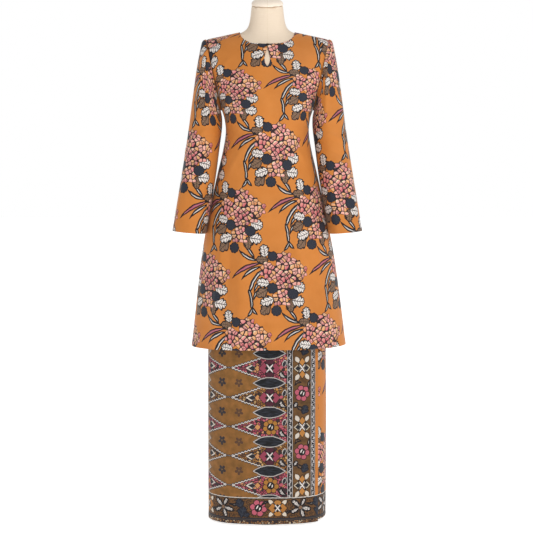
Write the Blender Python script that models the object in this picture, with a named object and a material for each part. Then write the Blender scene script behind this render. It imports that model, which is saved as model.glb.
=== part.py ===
# Baju kurung on a limbless dress form: a long tunic with set-in sleeves over a wrapped ankle skirt.
# Metres, +Z up. The front faces -Y and the form's base rests on z = 0.
import math
from collections import namedtuple

import bmesh
import bpy
from mathutils import Matrix, Vector

# Driving dimensions
CLOTH = 0.0012              # thickness of the cloth
SEAM = 0.0006               # gap between two panels at a seam
ARMHOLE_SEAM = 0.0010       # the same where a sleeve meets the tunic at an angle
REST_GAP = 0.0004           # gap between the waistband or the hook and what carries it
LAP_GAP = 0.0005            # gap between the skirt's two layers
SEAT_GAP = 0.0008           # gap between the tunic's shoulders and the form
POLE_GAP = 0.0003           # gap at either end of the pole
ROUNDING = 2.3              # roundness of the body's cross-sections, 2 is an ellipse

TUNIC_HEM = 0.515           # height of the tunic's hem
ARMPIT = 1.200              # height of the underarm point
SHOULDER_SLOPE = 0.2165     # drop of the shoulder line for each metre outwards
NECK_POINT = (0.0800, 1.4240)   # where the shoulder seam meets the neck: x, z
SHOULDER_TIP = 0.178        # x of the shoulder seam's outer end
NECK_ROUNDING = 3.5         # squareness of the neckline seen from above
FRONT_NECK_DROP = 0.0355    # how far the neckline falls below the shoulder seam's end
BACK_NECK_DROP = 0.016
FRONT_SWELL = 2.0           # fullness of the curve from the bust to the shoulder, 2 is an ellipse
BACK_SWELL = 2.5
HEM_SWING = 0.004           # how far the tunic's hem hangs to one side
HEM_TILT = 0.010            # rise of the hem for each metre across

KEYHOLE_TOP = 1.383         # height of the keyhole's upper end
KEYHOLE_TIP = 1.3225        # height of its pointed lower end
KEYHOLE_WIDTH = 0.017
SLIT_WIDTH = 0.0010         # the closed slit from the keyhole up to the neck edge
HOOK_SIZE = (0.0075, 0.0012, 0.0032)

SKIRT_HEM = 0.006           # the outer lap's hem
UNDERLAP_RISE = 0.005       # the layer below it hangs this much shorter
SKIRT_TOP = 0.9975
WAISTBAND_HEIGHT = 0.030
WAISTBAND_CLOTH = 0.0016
LAP_END = 37.5              # free edge of the outer lap, degrees forward of the right side
UNDERLAP_END = 97.5         # hidden edge below it, degrees forward of the right side

FORM_BOTTOM = 0.740
ARM_PLATE_BULGE = 0.007
SEAT_RISE = 0.110           # from this far above the underarm the form fills the tunic's shoulders
POLE_RADIUS = 0.016
BASE_RADIUS = 0.114
BASE_HEIGHT = 0.010
BASE_EDGE = 0.0025

# Mesh steps
ACROSS = 24                 # columns over a tunic panel
LOWER_ROWS = 10             # rows from a panel's lower edge to the underarm
ARMHOLE_ROWS = 10           # rows from underarm to shoulder
UNDERARM_ROW = LOWER_ROWS / (LOWER_ROWS + ARMHOLE_ROWS)
SLEEVE_ROWS = 16
SKIRT_STEP = 7.5            # degrees
SKIRT_ROWS = 10

Section = namedtuple("Section", "height half_width front back")
Torso = namedtuple("Torso", "sections armhole_front armhole_back")
SkirtSection = namedtuple("SkirtSection", "height half_width front back rounding")
SleeveRing = namedtuple("SleeveRing", "along outer_x outer_z inner_x inner_z half_depth middle_y")
NeckRing = namedtuple("NeckRing", "side_x side_z front_y front_z back_y back_z")
Flute = namedtuple("Flute", "across width depth")

TUNIC = Torso(
    sections=[
        Section(TUNIC_HEM, 0.2265, 0.140, 0.138),
        Section(0.740, 0.1990, 0.132, 0.131),
        Section(0.833, 0.1840, 0.128, 0.127),
        Section(0.930, 0.1640, 0.124, 0.118),
        Section(1.020, 0.1440, 0.121, 0.104),
        Section(1.080, 0.1295, 0.1205, 0.096),
        Section(1.135, 0.1208, 0.1220, 0.094),
        Section(1.175, 0.1245, 0.1240, 0.096),
        Section(ARMPIT, 0.1325, 0.1240, 0.097),
    ],
    armhole_front=0.053, armhole_back=0.056)

FORM = Torso(
    sections=[
        Section(FORM_BOTTOM, 0.150, 0.098, 0.104),
        Section(0.830, 0.155, 0.105, 0.111),
        Section(0.920, 0.141, 0.100, 0.103),
        Section(1.010, 0.111, 0.088, 0.081),
        Section(1.060, 0.109, 0.092, 0.079),
        Section(1.120, 0.1125, 0.107, 0.083),
        Section(ARMPIT, 0.1190, 0.1150, 0.0880),
    ],
    armhole_front=0.047, armhole_back=0.050)

NECK = [
    NeckRing(0.0730, 1.4262, -0.0700, 1.3960, 0.0570, 1.4150),
    NeckRing(0.0640, 1.4312, -0.0620, 1.4060, 0.0520, 1.4220),
    NeckRing(0.0565, 1.4392, -0.0565, 1.4200, 0.0490, 1.4330),
    NeckRing(0.0515, 1.4540, -0.0535, 1.4410, 0.0455, 1.4520),
    NeckRing(0.0480, 1.4800, -0.0525, 1.4710, 0.0420, 1.4840),
    NeckRing(0.0462, 1.5010, -0.0530, 1.4915, 0.0385, 1.5105),
]
CAP_STEPS = [(1.000, 0.0005), (1.010, 0.0060), (0.900, 0.0140), (0.500, 0.0190), (0.060, 0.0200)]

SKIRT = [
    SkirtSection(SKIRT_HEM, 0.1720, 0.1280, 0.1240, 2.8),
    SkirtSection(0.450, 0.1722, 0.1265, 0.1220, 2.7),
    SkirtSection(0.700, 0.1705, 0.1215, 0.1185, 2.5),
    SkirtSection(0.840, 0.1640, 0.1140, 0.1165, 2.4),
    SkirtSection(0.920, 0.1500, 0.1070, 0.1085, 2.35),
    SkirtSection(SKIRT_TOP, 0.1178, 0.0922, 0.0867, 2.3),
]

SLEEVE = [
    SleeveRing(0, 0.1780, 1.4035, 0.1335, 1.2000, 0.054, 0.000),
    SleeveRing(1, 0.1865, 1.4010, 0.1352, 1.1990, 0.056, 0.000),
    SleeveRing(2, 0.1920, 1.3840, 0.1345, 1.1945, 0.059, -0.001),
    SleeveRing(4, 0.2050, 1.3150, 0.1312, 1.1760, 0.062, -0.004),
    SleeveRing(6, 0.2175, 1.2250, 0.1316, 1.1440, 0.060, -0.011),
    SleeveRing(8, 0.2300, 1.1300, 0.1385, 1.0900, 0.057, -0.019),
    SleeveRing(10.5, 0.2500, 1.0020, 0.1515, 0.9920, 0.052, -0.032),
    SleeveRing(13, 0.2750, 0.8520, 0.1780, 0.8437, 0.0475, -0.046),
]
SLEEVE_CAP_ROWS = 1.35      # crowds the rings towards the sleeve head
ARMHOLE_BLEND = 1.6         # over this many table rows the armhole's shape turns into an ellipse

# Soft flutes at the tunic's hem: place across the panel, width and depth
FRONT_FLUTES = [Flute(-0.46, 0.10, 0.005), Flute(-0.16, 0.13, 0.006), Flute(0.22, 0.12, 0.005),
                Flute(0.55, 0.09, 0.004)]
BACK_FLUTES = [Flute(-0.50, 0.12, 0.006), Flute(-0.10, 0.15, 0.007), Flute(0.38, 0.12, 0.006)]
FLUTE_TOP = 0.98            # flutes fade out at this height

COLOURS = {
    "tunic_cloth": (0.60, 0.21, 0.035, 1), "skirt_cloth": (0.25, 0.12, 0.045, 1),
    "form_linen": (0.87, 0.74, 0.58, 1), "stand_steel": (0.35, 0.34, 0.33, 1),
    "hook_brass": (0.035, 0.028, 0.022, 1),
}


def clear_scene():
    for item in list(bpy.data.objects):
        bpy.data.objects.remove(item, do_unlink=True)


def material(name, metallic=0.0, roughness=0.8):
    finish = bpy.data.materials.new(name)
    finish.use_nodes = True
    shader = finish.node_tree.nodes["Principled BSDF"]
    shader.inputs["Base Color"].default_value = COLOURS[name]
    shader.inputs["Metallic"].default_value = metallic
    shader.inputs["Roughness"].default_value = roughness
    return finish


def add_object(name, bm, finish, smooth=True):
    mesh = bpy.data.meshes.new(name)
    bm.to_mesh(mesh)
    bm.free()
    if smooth:
        mesh.shade_smooth()
        mesh.set_sharp_from_angle(angle=math.radians(50))
    item = bpy.data.objects.new(name, mesh)
    item.data.materials.append(finish)
    bpy.context.scene.collection.objects.link(item)
    return item


def smooth_row(rows, position):
    """Reads a table between its rows with a smooth curve; the first column is the position."""
    last = len(rows) - 1
    low = 0
    while low < last - 1 and position > rows[low + 1][0]:
        low += 1
    start, end = rows[low], rows[low + 1]
    span = end[0] - start[0]
    t = min(max((position - start[0]) / span, 0.0), 1.0)

    def slope(row, column):
        before, after = rows[max(row - 1, 0)], rows[min(row + 1, last)]
        return (after[column] - before[column]) / (after[0] - before[0])

    values = []
    for column in range(len(start)):
        values.append((2 * t**3 - 3 * t**2 + 1) * start[column] + (t**3 - 2 * t**2 + t) * span * slope(low, column)
                      + (3 * t**2 - 2 * t**3) * end[column] + (t**3 - t**2) * span * slope(low + 1, column))
    return type(start)(*values)


def smoothstep(t):
    t = min(max(t, 0.0), 1.0)
    return t * t * (3 - 2 * t)


def mix(a, b, t):
    return a + (b - a) * t


def rounded(angle, width, depth, rounding):
    """A point of a rounded cross-section; the angle is 0 at +X and 90 degrees at +Y."""
    cos, sin = math.cos(angle), math.sin(angle)
    x = math.copysign(abs(cos) ** (2 / rounding), cos) * width
    y = math.copysign(abs(sin) ** (2 / rounding), sin) * depth
    return x, y


def shoulder_line(x):
    return NECK_POINT[1] - (abs(x) - NECK_POINT[0]) * SHOULDER_SLOPE


def neck_edge(share, facing):
    """A point of the neckline in the front view; share runs from 0 at the centre to 1 at the shoulder."""
    x, reach = rounded((1 - share) * math.pi / 2, NECK_POINT[0], 1.0, NECK_ROUNDING)
    return x, NECK_POINT[1] - (FRONT_NECK_DROP if facing < 0 else BACK_NECK_DROP) * reach ** 2


def lower_point(torso, facing, across, height):
    section = smooth_row(torso.sections, height)
    x, y = rounded((1 - across) * math.pi / 2, section.half_width, 1.0, ROUNDING)
    return Vector((x, y * facing * (section.front if facing < 0 else section.back), height))


def upper_point(torso, facing, across, up):
    """Above the underarm: columns run up to the neckline or to the shoulder seam."""
    base = lower_point(torso, facing, across, ARMPIT)
    armpit = torso.sections[-1]
    if abs(across) <= 0.5:
        top_x, top_z = neck_edge(abs(across) * 2, facing)
    else:
        top_x = mix(NECK_POINT[0], SHOULDER_TIP, abs(across) * 2 - 1)
        top_z = shoulder_line(top_x)
    t = (1 - math.cos(math.pi * up)) / 2
    x = mix(abs(base.x), top_x, t)
    z = mix(ARMPIT, top_z, t)
    rise = min((z - ARMPIT) / (shoulder_line(x) - ARMPIT), 1.0)
    swell = FRONT_SWELL if facing < 0 else BACK_SWELL
    middle = (armpit.front if facing < 0 else armpit.back) * (1 - rise ** swell) ** (1 / swell)
    edge = torso.armhole_front if facing < 0 else torso.armhole_back
    edge *= 2 * math.sqrt(rise * (1 - rise))
    edge_x = mix(armpit.half_width, SHOULDER_TIP, min((z - ARMPIT) / (shoulder_line(SHOULDER_TIP) - ARMPIT), 1.0))
    fall = 1 - (min(edge / middle, 1.0) ** ROUNDING if middle > 0 else 0.0)
    y = middle * max(1 - fall * min(x / edge_x, 1.0) ** ROUNDING, 0.0) ** (1 / ROUNDING)
    return Vector((math.copysign(x, across), y * facing, z))


def torso_point(torso, facing, across, up):
    """A point of a torso panel: across from -1 to 1, up from 0 at its lower edge to 1 at its top."""
    if up <= UNDERARM_ROW:
        return lower_point(torso, facing, across, mix(torso.sections[0].height, ARMPIT, up / UNDERARM_ROW))
    return upper_point(torso, facing, across, (up - UNDERARM_ROW) / (1 - UNDERARM_ROW))


def tunic_point(facing, across, up):
    point = torso_point(TUNIC, facing, across, up)
    fade = smoothstep((FLUTE_TOP - point.z) / (FLUTE_TOP - TUNIC_HEM))
    flutes = FRONT_FLUTES if facing < 0 else BACK_FLUTES
    wave = sum(flute.depth * math.exp(-((across - flute.across) / flute.width) ** 2) for flute in flutes)
    point.y += facing * wave * fade
    point.x += HEM_SWING * fade
    point.z += HEM_TILT * point.x * fade
    point.y += facing * SEAM / 2
    return point


def grid(columns, rows, place, wraps=False):
    """A grid whose points are placed by a function of two shares from 0 to 1."""
    bm = bmesh.new()
    bmesh.ops.create_grid(bm, x_segments=columns, y_segments=rows, size=0.5)
    for vert in bm.verts:
        vert.co = place(vert.co.x + 0.5, vert.co.y + 0.5)
    if wraps:
        bmesh.ops.remove_doubles(bm, verts=bm.verts, dist=0.00001)
    return bm


def inward_steps(bm, seam_on_y=False):
    """A unit step inwards for each point. On a side or shoulder seam it stays in the seam's plane."""
    bm.normal_update()
    steps = {}
    for vert in bm.verts:
        normal = vert.normal.copy()
        if seam_on_y and vert.is_boundary and abs(vert.co.y) < SEAM:
            normal.y = 0.0
            normal.normalize()
        steps[vert] = -normal
    return steps


def thicken(bm, wall, seam_on_y=False):
    """Gives an open sheet its wall, inwards."""
    steps = inward_steps(bm, seam_on_y)
    rim = [edge for edge in bm.edges if edge.is_boundary]
    inner = bmesh.ops.duplicate(bm, geom=list(bm.faces))["vert_map"]
    inner = {vert: inner[vert] for vert in steps}
    for vert, twin in inner.items():
        twin.co = vert.co + steps[vert] * wall
    inner_verts = set(inner.values())
    bmesh.ops.reverse_faces(bm, faces=[face for face in bm.faces if face.verts[0] in inner_verts])
    for edge in rim:
        loop = edge.link_loops[0]
        start, end = loop.vert, loop.link_loop_next.vert
        bm.faces.new((end, start, inner[start], inner[end]))
    return bm


def close_ends(bm):
    bmesh.ops.holes_fill(bm, edges=[edge for edge in bm.edges if edge.is_boundary], sides=0)
    return bm


def tunic_grid(facing):
    def place(share, up):
        return tunic_point(facing, (share * 2 - 1) * -facing, up)

    return grid(ACROSS, LOWER_ROWS + ARMHOLE_ROWS, place)


def make_tunic_panel(name, facing, finish):
    return add_object(name, thicken(tunic_grid(facing), CLOTH, seam_on_y=True), finish)


def keyhole_half_width(share):
    """Half the opening's width, from its upper end (0) to its pointed lower end (1)."""
    leaf = KEYHOLE_WIDTH / 2 * math.sin(math.pi * share ** 1.6) ** 0.9 if 0 < share < 1 else 0.0
    return max(leaf, SLIT_WIDTH / 2 if share < 0.5 else 0.0)


def cut_keyhole(panel):
    steps = 14
    right = [(keyhole_half_width(i / steps), mix(KEYHOLE_TOP, KEYHOLE_TIP, i / steps)) for i in range(steps)]
    above = [(SLIT_WIDTH / 2, NECK_POINT[1])]
    tip = [(0.0, KEYHOLE_TIP)]
    left = [(-x, z) for x, z in reversed(above + right)]
    bm = bmesh.new()
    verts = [bm.verts.new((x, -0.150, z)) for x, z in above + right + tip + left]
    face = bm.faces.new(verts)
    bm.normal_update()
    if face.normal.y > 0:
        face.normal_flip()
    pulled = bmesh.ops.extrude_face_region(bm, geom=[face])
    moved = [item for item in pulled["geom"] if isinstance(item, bmesh.types.BMVert)]
    bmesh.ops.translate(bm, verts=moved, vec=(0, 0.100, 0))
    bmesh.ops.recalc_face_normals(bm, faces=bm.faces)
    cutter = add_object("keyhole_cutter", bm, panel.data.materials[0], smooth=False)
    cutter.hide_render = True
    cutter.display_type = 'WIRE'
    cut = panel.modifiers.new("keyhole", 'BOOLEAN')
    cut.operation = 'DIFFERENCE'
    cut.solver = 'EXACT'
    cut.object = cutter


def make_neck_hook(finish):
    top = tunic_point(-1, 0.0, 1.0)
    along = (top - tunic_point(-1, 0.0, 0.97)).normalized()
    outwards = Vector((0, -along.z, along.y))
    middle = top - along * HOOK_SIZE[2] * 0.6 + outwards * (HOOK_SIZE[1] / 2 + REST_GAP)
    bm = bmesh.new()
    bmesh.ops.create_cube(bm, size=1.0)
    bmesh.ops.scale(bm, verts=bm.verts, vec=HOOK_SIZE)
    upright = [edge for edge in bm.edges if abs((edge.verts[0].co - edge.verts[1].co).y) > HOOK_SIZE[1] / 2]
    bmesh.ops.bevel(bm, geom=upright, offset=0.0012, segments=2, profile=0.5, affect='EDGES', material=-1)
    lean = Matrix.Rotation(math.atan2(-outwards.z, -outwards.y), 4, 'X')
    bmesh.ops.transform(bm, matrix=Matrix.Translation(middle) @ lean, verts=bm.verts)
    return add_object("neck_hook", bm, finish)


def sleeve_point(side, around, along):
    """A point of a sleeve: around starts at the shoulder and goes over the front to the underarm."""
    position = SLEEVE[-1].along * along ** SLEEVE_CAP_ROWS
    ring = smooth_row(SLEEVE, position)
    turn = around * 2 * math.pi
    middle = Vector(((ring.outer_x + ring.inner_x) / 2, ring.middle_y, (ring.outer_z + ring.inner_z) / 2))
    reach = Vector(((ring.outer_x - ring.inner_x) / 2, 0, (ring.outer_z - ring.inner_z) / 2))
    point = middle + reach * math.cos(turn) - Vector((0, ring.half_depth * math.sin(turn), 0))
    facing = -1 if around <= 0.5 else 1
    up = 1 - 2 * around if around <= 0.5 else 2 * around - 1
    armhole = tunic_point(facing, side, mix(UNDERARM_ROW, 1.0, up))
    armhole.x *= side
    if around in (0.0, 0.5, 1.0):
        armhole.y = 0.0
    armhole += Vector((shoulder_line(SHOULDER_TIP) - ARMPIT, 0, TUNIC.sections[-1].half_width - SHOULDER_TIP)
                      ).normalized() * ARMHOLE_SEAM
    blend = smoothstep(position / ARMHOLE_BLEND)
    point = armhole.lerp(point, blend)
    return Vector((point.x * side, point.y, point.z))


def make_sleeve(name, side, finish):
    def place(share, along):
        around = share if side < 0 else 1 - share
        return sleeve_point(side, around % 1.0, 1 - along)

    bm = grid(2 * ARMHOLE_ROWS, SLEEVE_ROWS, place, wraps=True)
    return add_object(name, thicken(bm, CLOTH), finish)


def skirt_point(degrees, height, layer):
    """A point of the skirt: degrees run forward from the right side, layer is the distance outwards."""
    section = smooth_row(SKIRT, height)
    angle = math.radians(-degrees)
    depth = section.front if math.sin(angle) < 0 else section.back
    x, y = rounded(angle, section.half_width + layer, depth + layer, section.rounding)
    return Vector((x, y, height))


def make_skirt_layer(name, first, last, hem, layer, finish):
    """A skirt panel from one angle to another; the angles fall so that its outside faces out."""
    columns = round((first - last) / SKIRT_STEP)

    def place(share, up):
        return skirt_point(mix(first, last, share), mix(hem, SKIRT_TOP, up), layer)

    return add_object(name, thicken(grid(columns, SKIRT_ROWS, place), CLOTH), finish)


def form_side(facing, across, height):
    """A point on the form's faceted side: straight between the rows of its mesh."""
    row = (height - FORM_BOTTOM) / (ARMPIT - FORM_BOTTOM) * LOWER_ROWS
    low = torso_point(FORM, facing, across, math.floor(row) / LOWER_ROWS * UNDERARM_ROW)
    high = torso_point(FORM, facing, across, math.ceil(row) / LOWER_ROWS * UNDERARM_ROW)
    return low.lerp(high, row - math.floor(row))


def make_waistband(finish):
    lower = SKIRT_TOP + SEAM

    def place(around, up):
        facing = 1 if around <= 0.5 else -1
        across = 1 - 4 * around if around <= 0.5 else 4 * around - 3
        point = form_side(facing, across, mix(lower, lower + WAISTBAND_HEIGHT, up))
        return point + Vector((point.x, point.y, 0)).normalized() * (REST_GAP + WAISTBAND_CLOTH)

    bm = grid(2 * ACROSS, 1, place, wraps=True)
    return add_object("skirt_waistband", thicken(bm, WAISTBAND_CLOTH), finish)


def neck_ring_point(ring, turn):
    """A point of a neck ring; turn is 0 at the front and 180 degrees at the back."""
    forward = math.cos(turn)
    middle = (ring.front_y + ring.back_y) / 2
    y = middle + (ring.front_y - middle) * forward
    end_z = ring.front_z if forward > 0 else ring.back_z
    return Vector((ring.side_x * math.sin(turn), y, mix(ring.side_z, end_z, abs(forward))))


def form_half(facing):
    """One half of the form's torso. Towards the shoulders it lies just under the tunic."""
    def place(share, up):
        return torso_point(FORM, facing, (share * 2 - 1) * -facing, up)

    cloth = tunic_grid(facing)
    seats = [vert.co + step * (CLOTH + SEAT_GAP) for vert, step in inward_steps(cloth, seam_on_y=True).items()]
    cloth.free()
    half = grid(ACROSS, LOWER_ROWS + ARMHOLE_ROWS, place)
    for vert, seat in zip(half.verts, seats):
        point = vert.co.lerp(seat, smoothstep((vert.co.z - ARMPIT) / SEAT_RISE))
        if vert.is_boundary and abs(point.y) < SEAM:
            point.y = 0.0
        vert.co = point
    return half


def make_form_body(finish):
    bm = bmesh.new()
    for facing in (-1, 1):
        half = form_half(facing)
        mesh = bpy.data.meshes.new("half")
        half.to_mesh(mesh)
        half.free()
        bm.from_mesh(mesh)
        bpy.data.meshes.remove(mesh)
    bmesh.ops.remove_doubles(bm, verts=bm.verts, dist=SEAM)
    for side in (-1, 1):
        plate_edges = [edge for edge in bm.edges if edge.is_boundary and all(
            vert.co.x * side > NECK_POINT[0] + 0.01 and vert.co.z > ARMPIT - 0.01 for vert in edge.verts)]
        plate = bmesh.ops.holes_fill(bm, edges=plate_edges, sides=0)["faces"]
        middle = bmesh.ops.poke(bm, faces=plate)["verts"][0]
        middle.co.x += side * ARM_PLATE_BULGE
    loop = [edge for edge in bm.edges if edge.is_boundary and edge.verts[0].co.z > ARMPIT]
    turns = {}
    for edge in loop:
        for vert in edge.verts:
            turns[vert] = math.atan2(vert.co.x, -vert.co.y)
    for ring in NECK:
        pulled = bmesh.ops.extrude_edge_only(bm, edges=loop)["geom"]
        next_turns = {}
        for vert in pulled:
            if isinstance(vert, bmesh.types.BMVert):
                partner = next(edge.other_vert(vert) for edge in vert.link_edges if edge.other_vert(vert) in turns)
                next_turns[vert] = turns[partner]
        for vert, turn in next_turns.items():
            vert.co = neck_ring_point(ring, turn)
        turns = next_turns
        loop = [item for item in pulled if isinstance(item, bmesh.types.BMEdge) and item.is_boundary]
    close_ends(bm)
    bmesh.ops.recalc_face_normals(bm, faces=bm.faces)
    return add_object("form_body", bm, finish)


def make_form_cap(finish):
    top = NECK[-1]
    middle = Vector((0, (top.front_y + top.back_y) / 2, top.side_z))
    tilt = math.atan2(top.back_z - top.front_z, top.back_y - top.front_y)
    upwards = Vector((0, -math.sin(tilt), math.cos(tilt)))

    def place(around, up):
        size, lift = CAP_STEPS[round(up * (len(CAP_STEPS) - 1))]
        edge = neck_ring_point(top, around * 2 * math.pi)
        return middle + (edge - middle) * size + upwards * lift

    bm = close_ends(grid(ACROSS, len(CAP_STEPS) - 1, place, wraps=True))
    bmesh.ops.recalc_face_normals(bm, faces=bm.faces)
    return add_object("form_cap", bm, finish)


def make_turned(name, radius, low, high, sides, finish, edge=0.0):
    bm = bmesh.new()
    bmesh.ops.create_cone(bm, cap_ends=True, segments=sides, radius1=radius, radius2=radius, depth=high - low)
    bmesh.ops.translate(bm, verts=bm.verts, vec=(0, 0, (low + high) / 2))
    if edge:
        upper = [item for item in bm.edges if all(vert.co.z > mix(low, high, 0.5) for vert in item.verts)]
        bmesh.ops.bevel(bm, geom=upper, offset=edge, segments=2, profile=0.5, affect='EDGES', material=-1)
    return add_object(name, bm, finish)


def main():
    clear_scene()
    tunic_cloth = material("tunic_cloth", roughness=0.6)
    skirt_cloth = material("skirt_cloth")
    linen = material("form_linen")
    steel = material("stand_steel", metallic=1.0, roughness=0.4)
    brass = material("hook_brass", metallic=1.0, roughness=0.5)

    cut_keyhole(make_tunic_panel("tunic_front", -1, tunic_cloth))
    make_tunic_panel("tunic_back", 1, tunic_cloth)
    make_sleeve("sleeve_left", -1, tunic_cloth)
    make_sleeve("sleeve_right", 1, tunic_cloth)
    make_neck_hook(brass)

    make_skirt_layer("skirt_lap", 180, LAP_END, SKIRT_HEM, CLOTH + LAP_GAP, skirt_cloth)
    make_skirt_layer("skirt_back", UNDERLAP_END, -180, SKIRT_HEM + UNDERLAP_RISE, 0.0, skirt_cloth)
    make_waistband(skirt_cloth)

    make_form_body(linen)
    make_form_cap(linen)
    make_turned("form_pole", POLE_RADIUS, BASE_HEIGHT + POLE_GAP, FORM_BOTTOM - POLE_GAP, 24, steel)
    make_turned("form_base", BASE_RADIUS, 0.0, BASE_HEIGHT, 48, steel, edge=BASE_EDGE)


main()
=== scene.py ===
import math

import bmesh
import bpy
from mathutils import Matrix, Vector


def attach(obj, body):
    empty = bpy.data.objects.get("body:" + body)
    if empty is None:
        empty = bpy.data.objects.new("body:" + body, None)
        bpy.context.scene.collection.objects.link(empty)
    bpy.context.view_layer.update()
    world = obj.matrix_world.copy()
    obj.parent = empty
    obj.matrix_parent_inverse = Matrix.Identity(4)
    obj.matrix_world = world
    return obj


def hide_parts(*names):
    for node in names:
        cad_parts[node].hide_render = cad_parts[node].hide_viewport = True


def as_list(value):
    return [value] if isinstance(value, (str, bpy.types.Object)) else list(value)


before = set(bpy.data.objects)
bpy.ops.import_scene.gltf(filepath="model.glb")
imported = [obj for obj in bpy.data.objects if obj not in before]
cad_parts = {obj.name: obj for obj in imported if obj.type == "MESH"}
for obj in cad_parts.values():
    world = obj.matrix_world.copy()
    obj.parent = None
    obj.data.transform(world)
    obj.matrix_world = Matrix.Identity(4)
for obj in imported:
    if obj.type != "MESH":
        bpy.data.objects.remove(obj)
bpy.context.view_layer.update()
print("frame loaded:", len(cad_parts), "nodes")


# small tools: table reading, colours, nodes, finished pieces

def smoothRow(rows, position):
    # reads a table between its rows with a smooth curve; the first column is the position
    last = len(rows) - 1
    low = 0
    while low < last - 1 and position > rows[low + 1][0]:
        low += 1
    start, end = rows[low], rows[low + 1]
    span = end[0] - start[0]
    t = min(max((position - start[0]) / span, 0.0), 1.0)
    values = []
    for column in range(len(start)):
        slopes = []
        for row in (low, low + 1):
            before, after = rows[max(row - 1, 0)], rows[min(row + 1, last)]
            slopes.append((after[column] - before[column]) / (after[0] - before[0]))
        values.append((2 * t**3 - 3 * t**2 + 1) * start[column] + (t**3 - 2 * t**2 + t) * span * slopes[0]
                      + (3 * t**2 - 2 * t**3) * end[column] + (t**3 - t**2) * span * slopes[1])
    return values


def smoothstep(t):
    t = min(max(t, 0.0), 1.0)
    return t * t * (3 - 2 * t)


def mix(a, b, t):
    return a + (b - a) * t


def roundedSection(angle, width, depth, rounding):
    # a point of a rounded cross-section; the angle is 0 at +X and 90 degrees at +Y
    cos, sin = math.cos(angle), math.sin(angle)
    x = math.copysign(abs(cos) ** (2 / rounding), cos) * width
    y = math.copysign(abs(sin) ** (2 / rounding), sin) * depth
    return x, y


def hexColour(text):
    # sRGB hex to the linear colour that a shader wants
    channels = [int(text[i:i + 2], 16) / 255 for i in (1, 3, 5)]
    return tuple(c / 12.92 if c <= 0.04045 else ((c + 0.055) / 1.055) ** 2.4 for c in channels) + (1.0,)


def shown(node):
    # a node's first visible output
    return next(output for output in node.outputs if output.enabled)


def add(tree, kind, *inputs, **settings):
    # adds a node, with its operation after its kind; inputs go to its visible sockets in order, and a node
    # stands for its first visible output
    kind, _, operation = kind.partition(" ")
    node = tree.nodes.new("ShaderNode" + kind)
    if operation:
        node.operation = operation
    for name, value in settings.items():
        setattr(node, name, value)
    sockets = [socket for socket in node.inputs if socket.enabled]
    for socket, value in zip(sockets, inputs):
        if isinstance(value, bpy.types.Node):
            value = shown(value)
        if isinstance(value, bpy.types.NodeSocket):
            tree.links.new(value, socket)
        elif value is not None:
            socket.default_value = value
    return node


def newObject(name, bm, finishes=()):
    mesh = bpy.data.meshes.new(name)
    bm.to_mesh(mesh)
    bm.free()
    for finish in finishes:
        mesh.materials.append(finish)
    made = bpy.data.objects.new(name, mesh)
    bpy.context.scene.collection.objects.link(made)
    return made


def finishPiece(name, bm, finishes, body="root"):
    piece = newObject(name, bm, finishes)
    piece.data.shade_smooth()
    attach(piece, body)
    return piece


# prints: every motif is painted over the colour below it, in millimetres on the flat cloth

inks = {
    "outline": "#191113", "navy": "#202330", "navyVein": "#343844", "white": "#E8DFD8", "grey": "#4F4845",
    "brown": "#84664F", "brownVein": "#4C392C", "mauve": "#934357", "mauveVein": "#C9808A",
    "silver": "#DCD6D2", "silverShade": "#4B474D", "ochre": "#C87729", "paleOchre": "#D38439",
}
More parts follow.
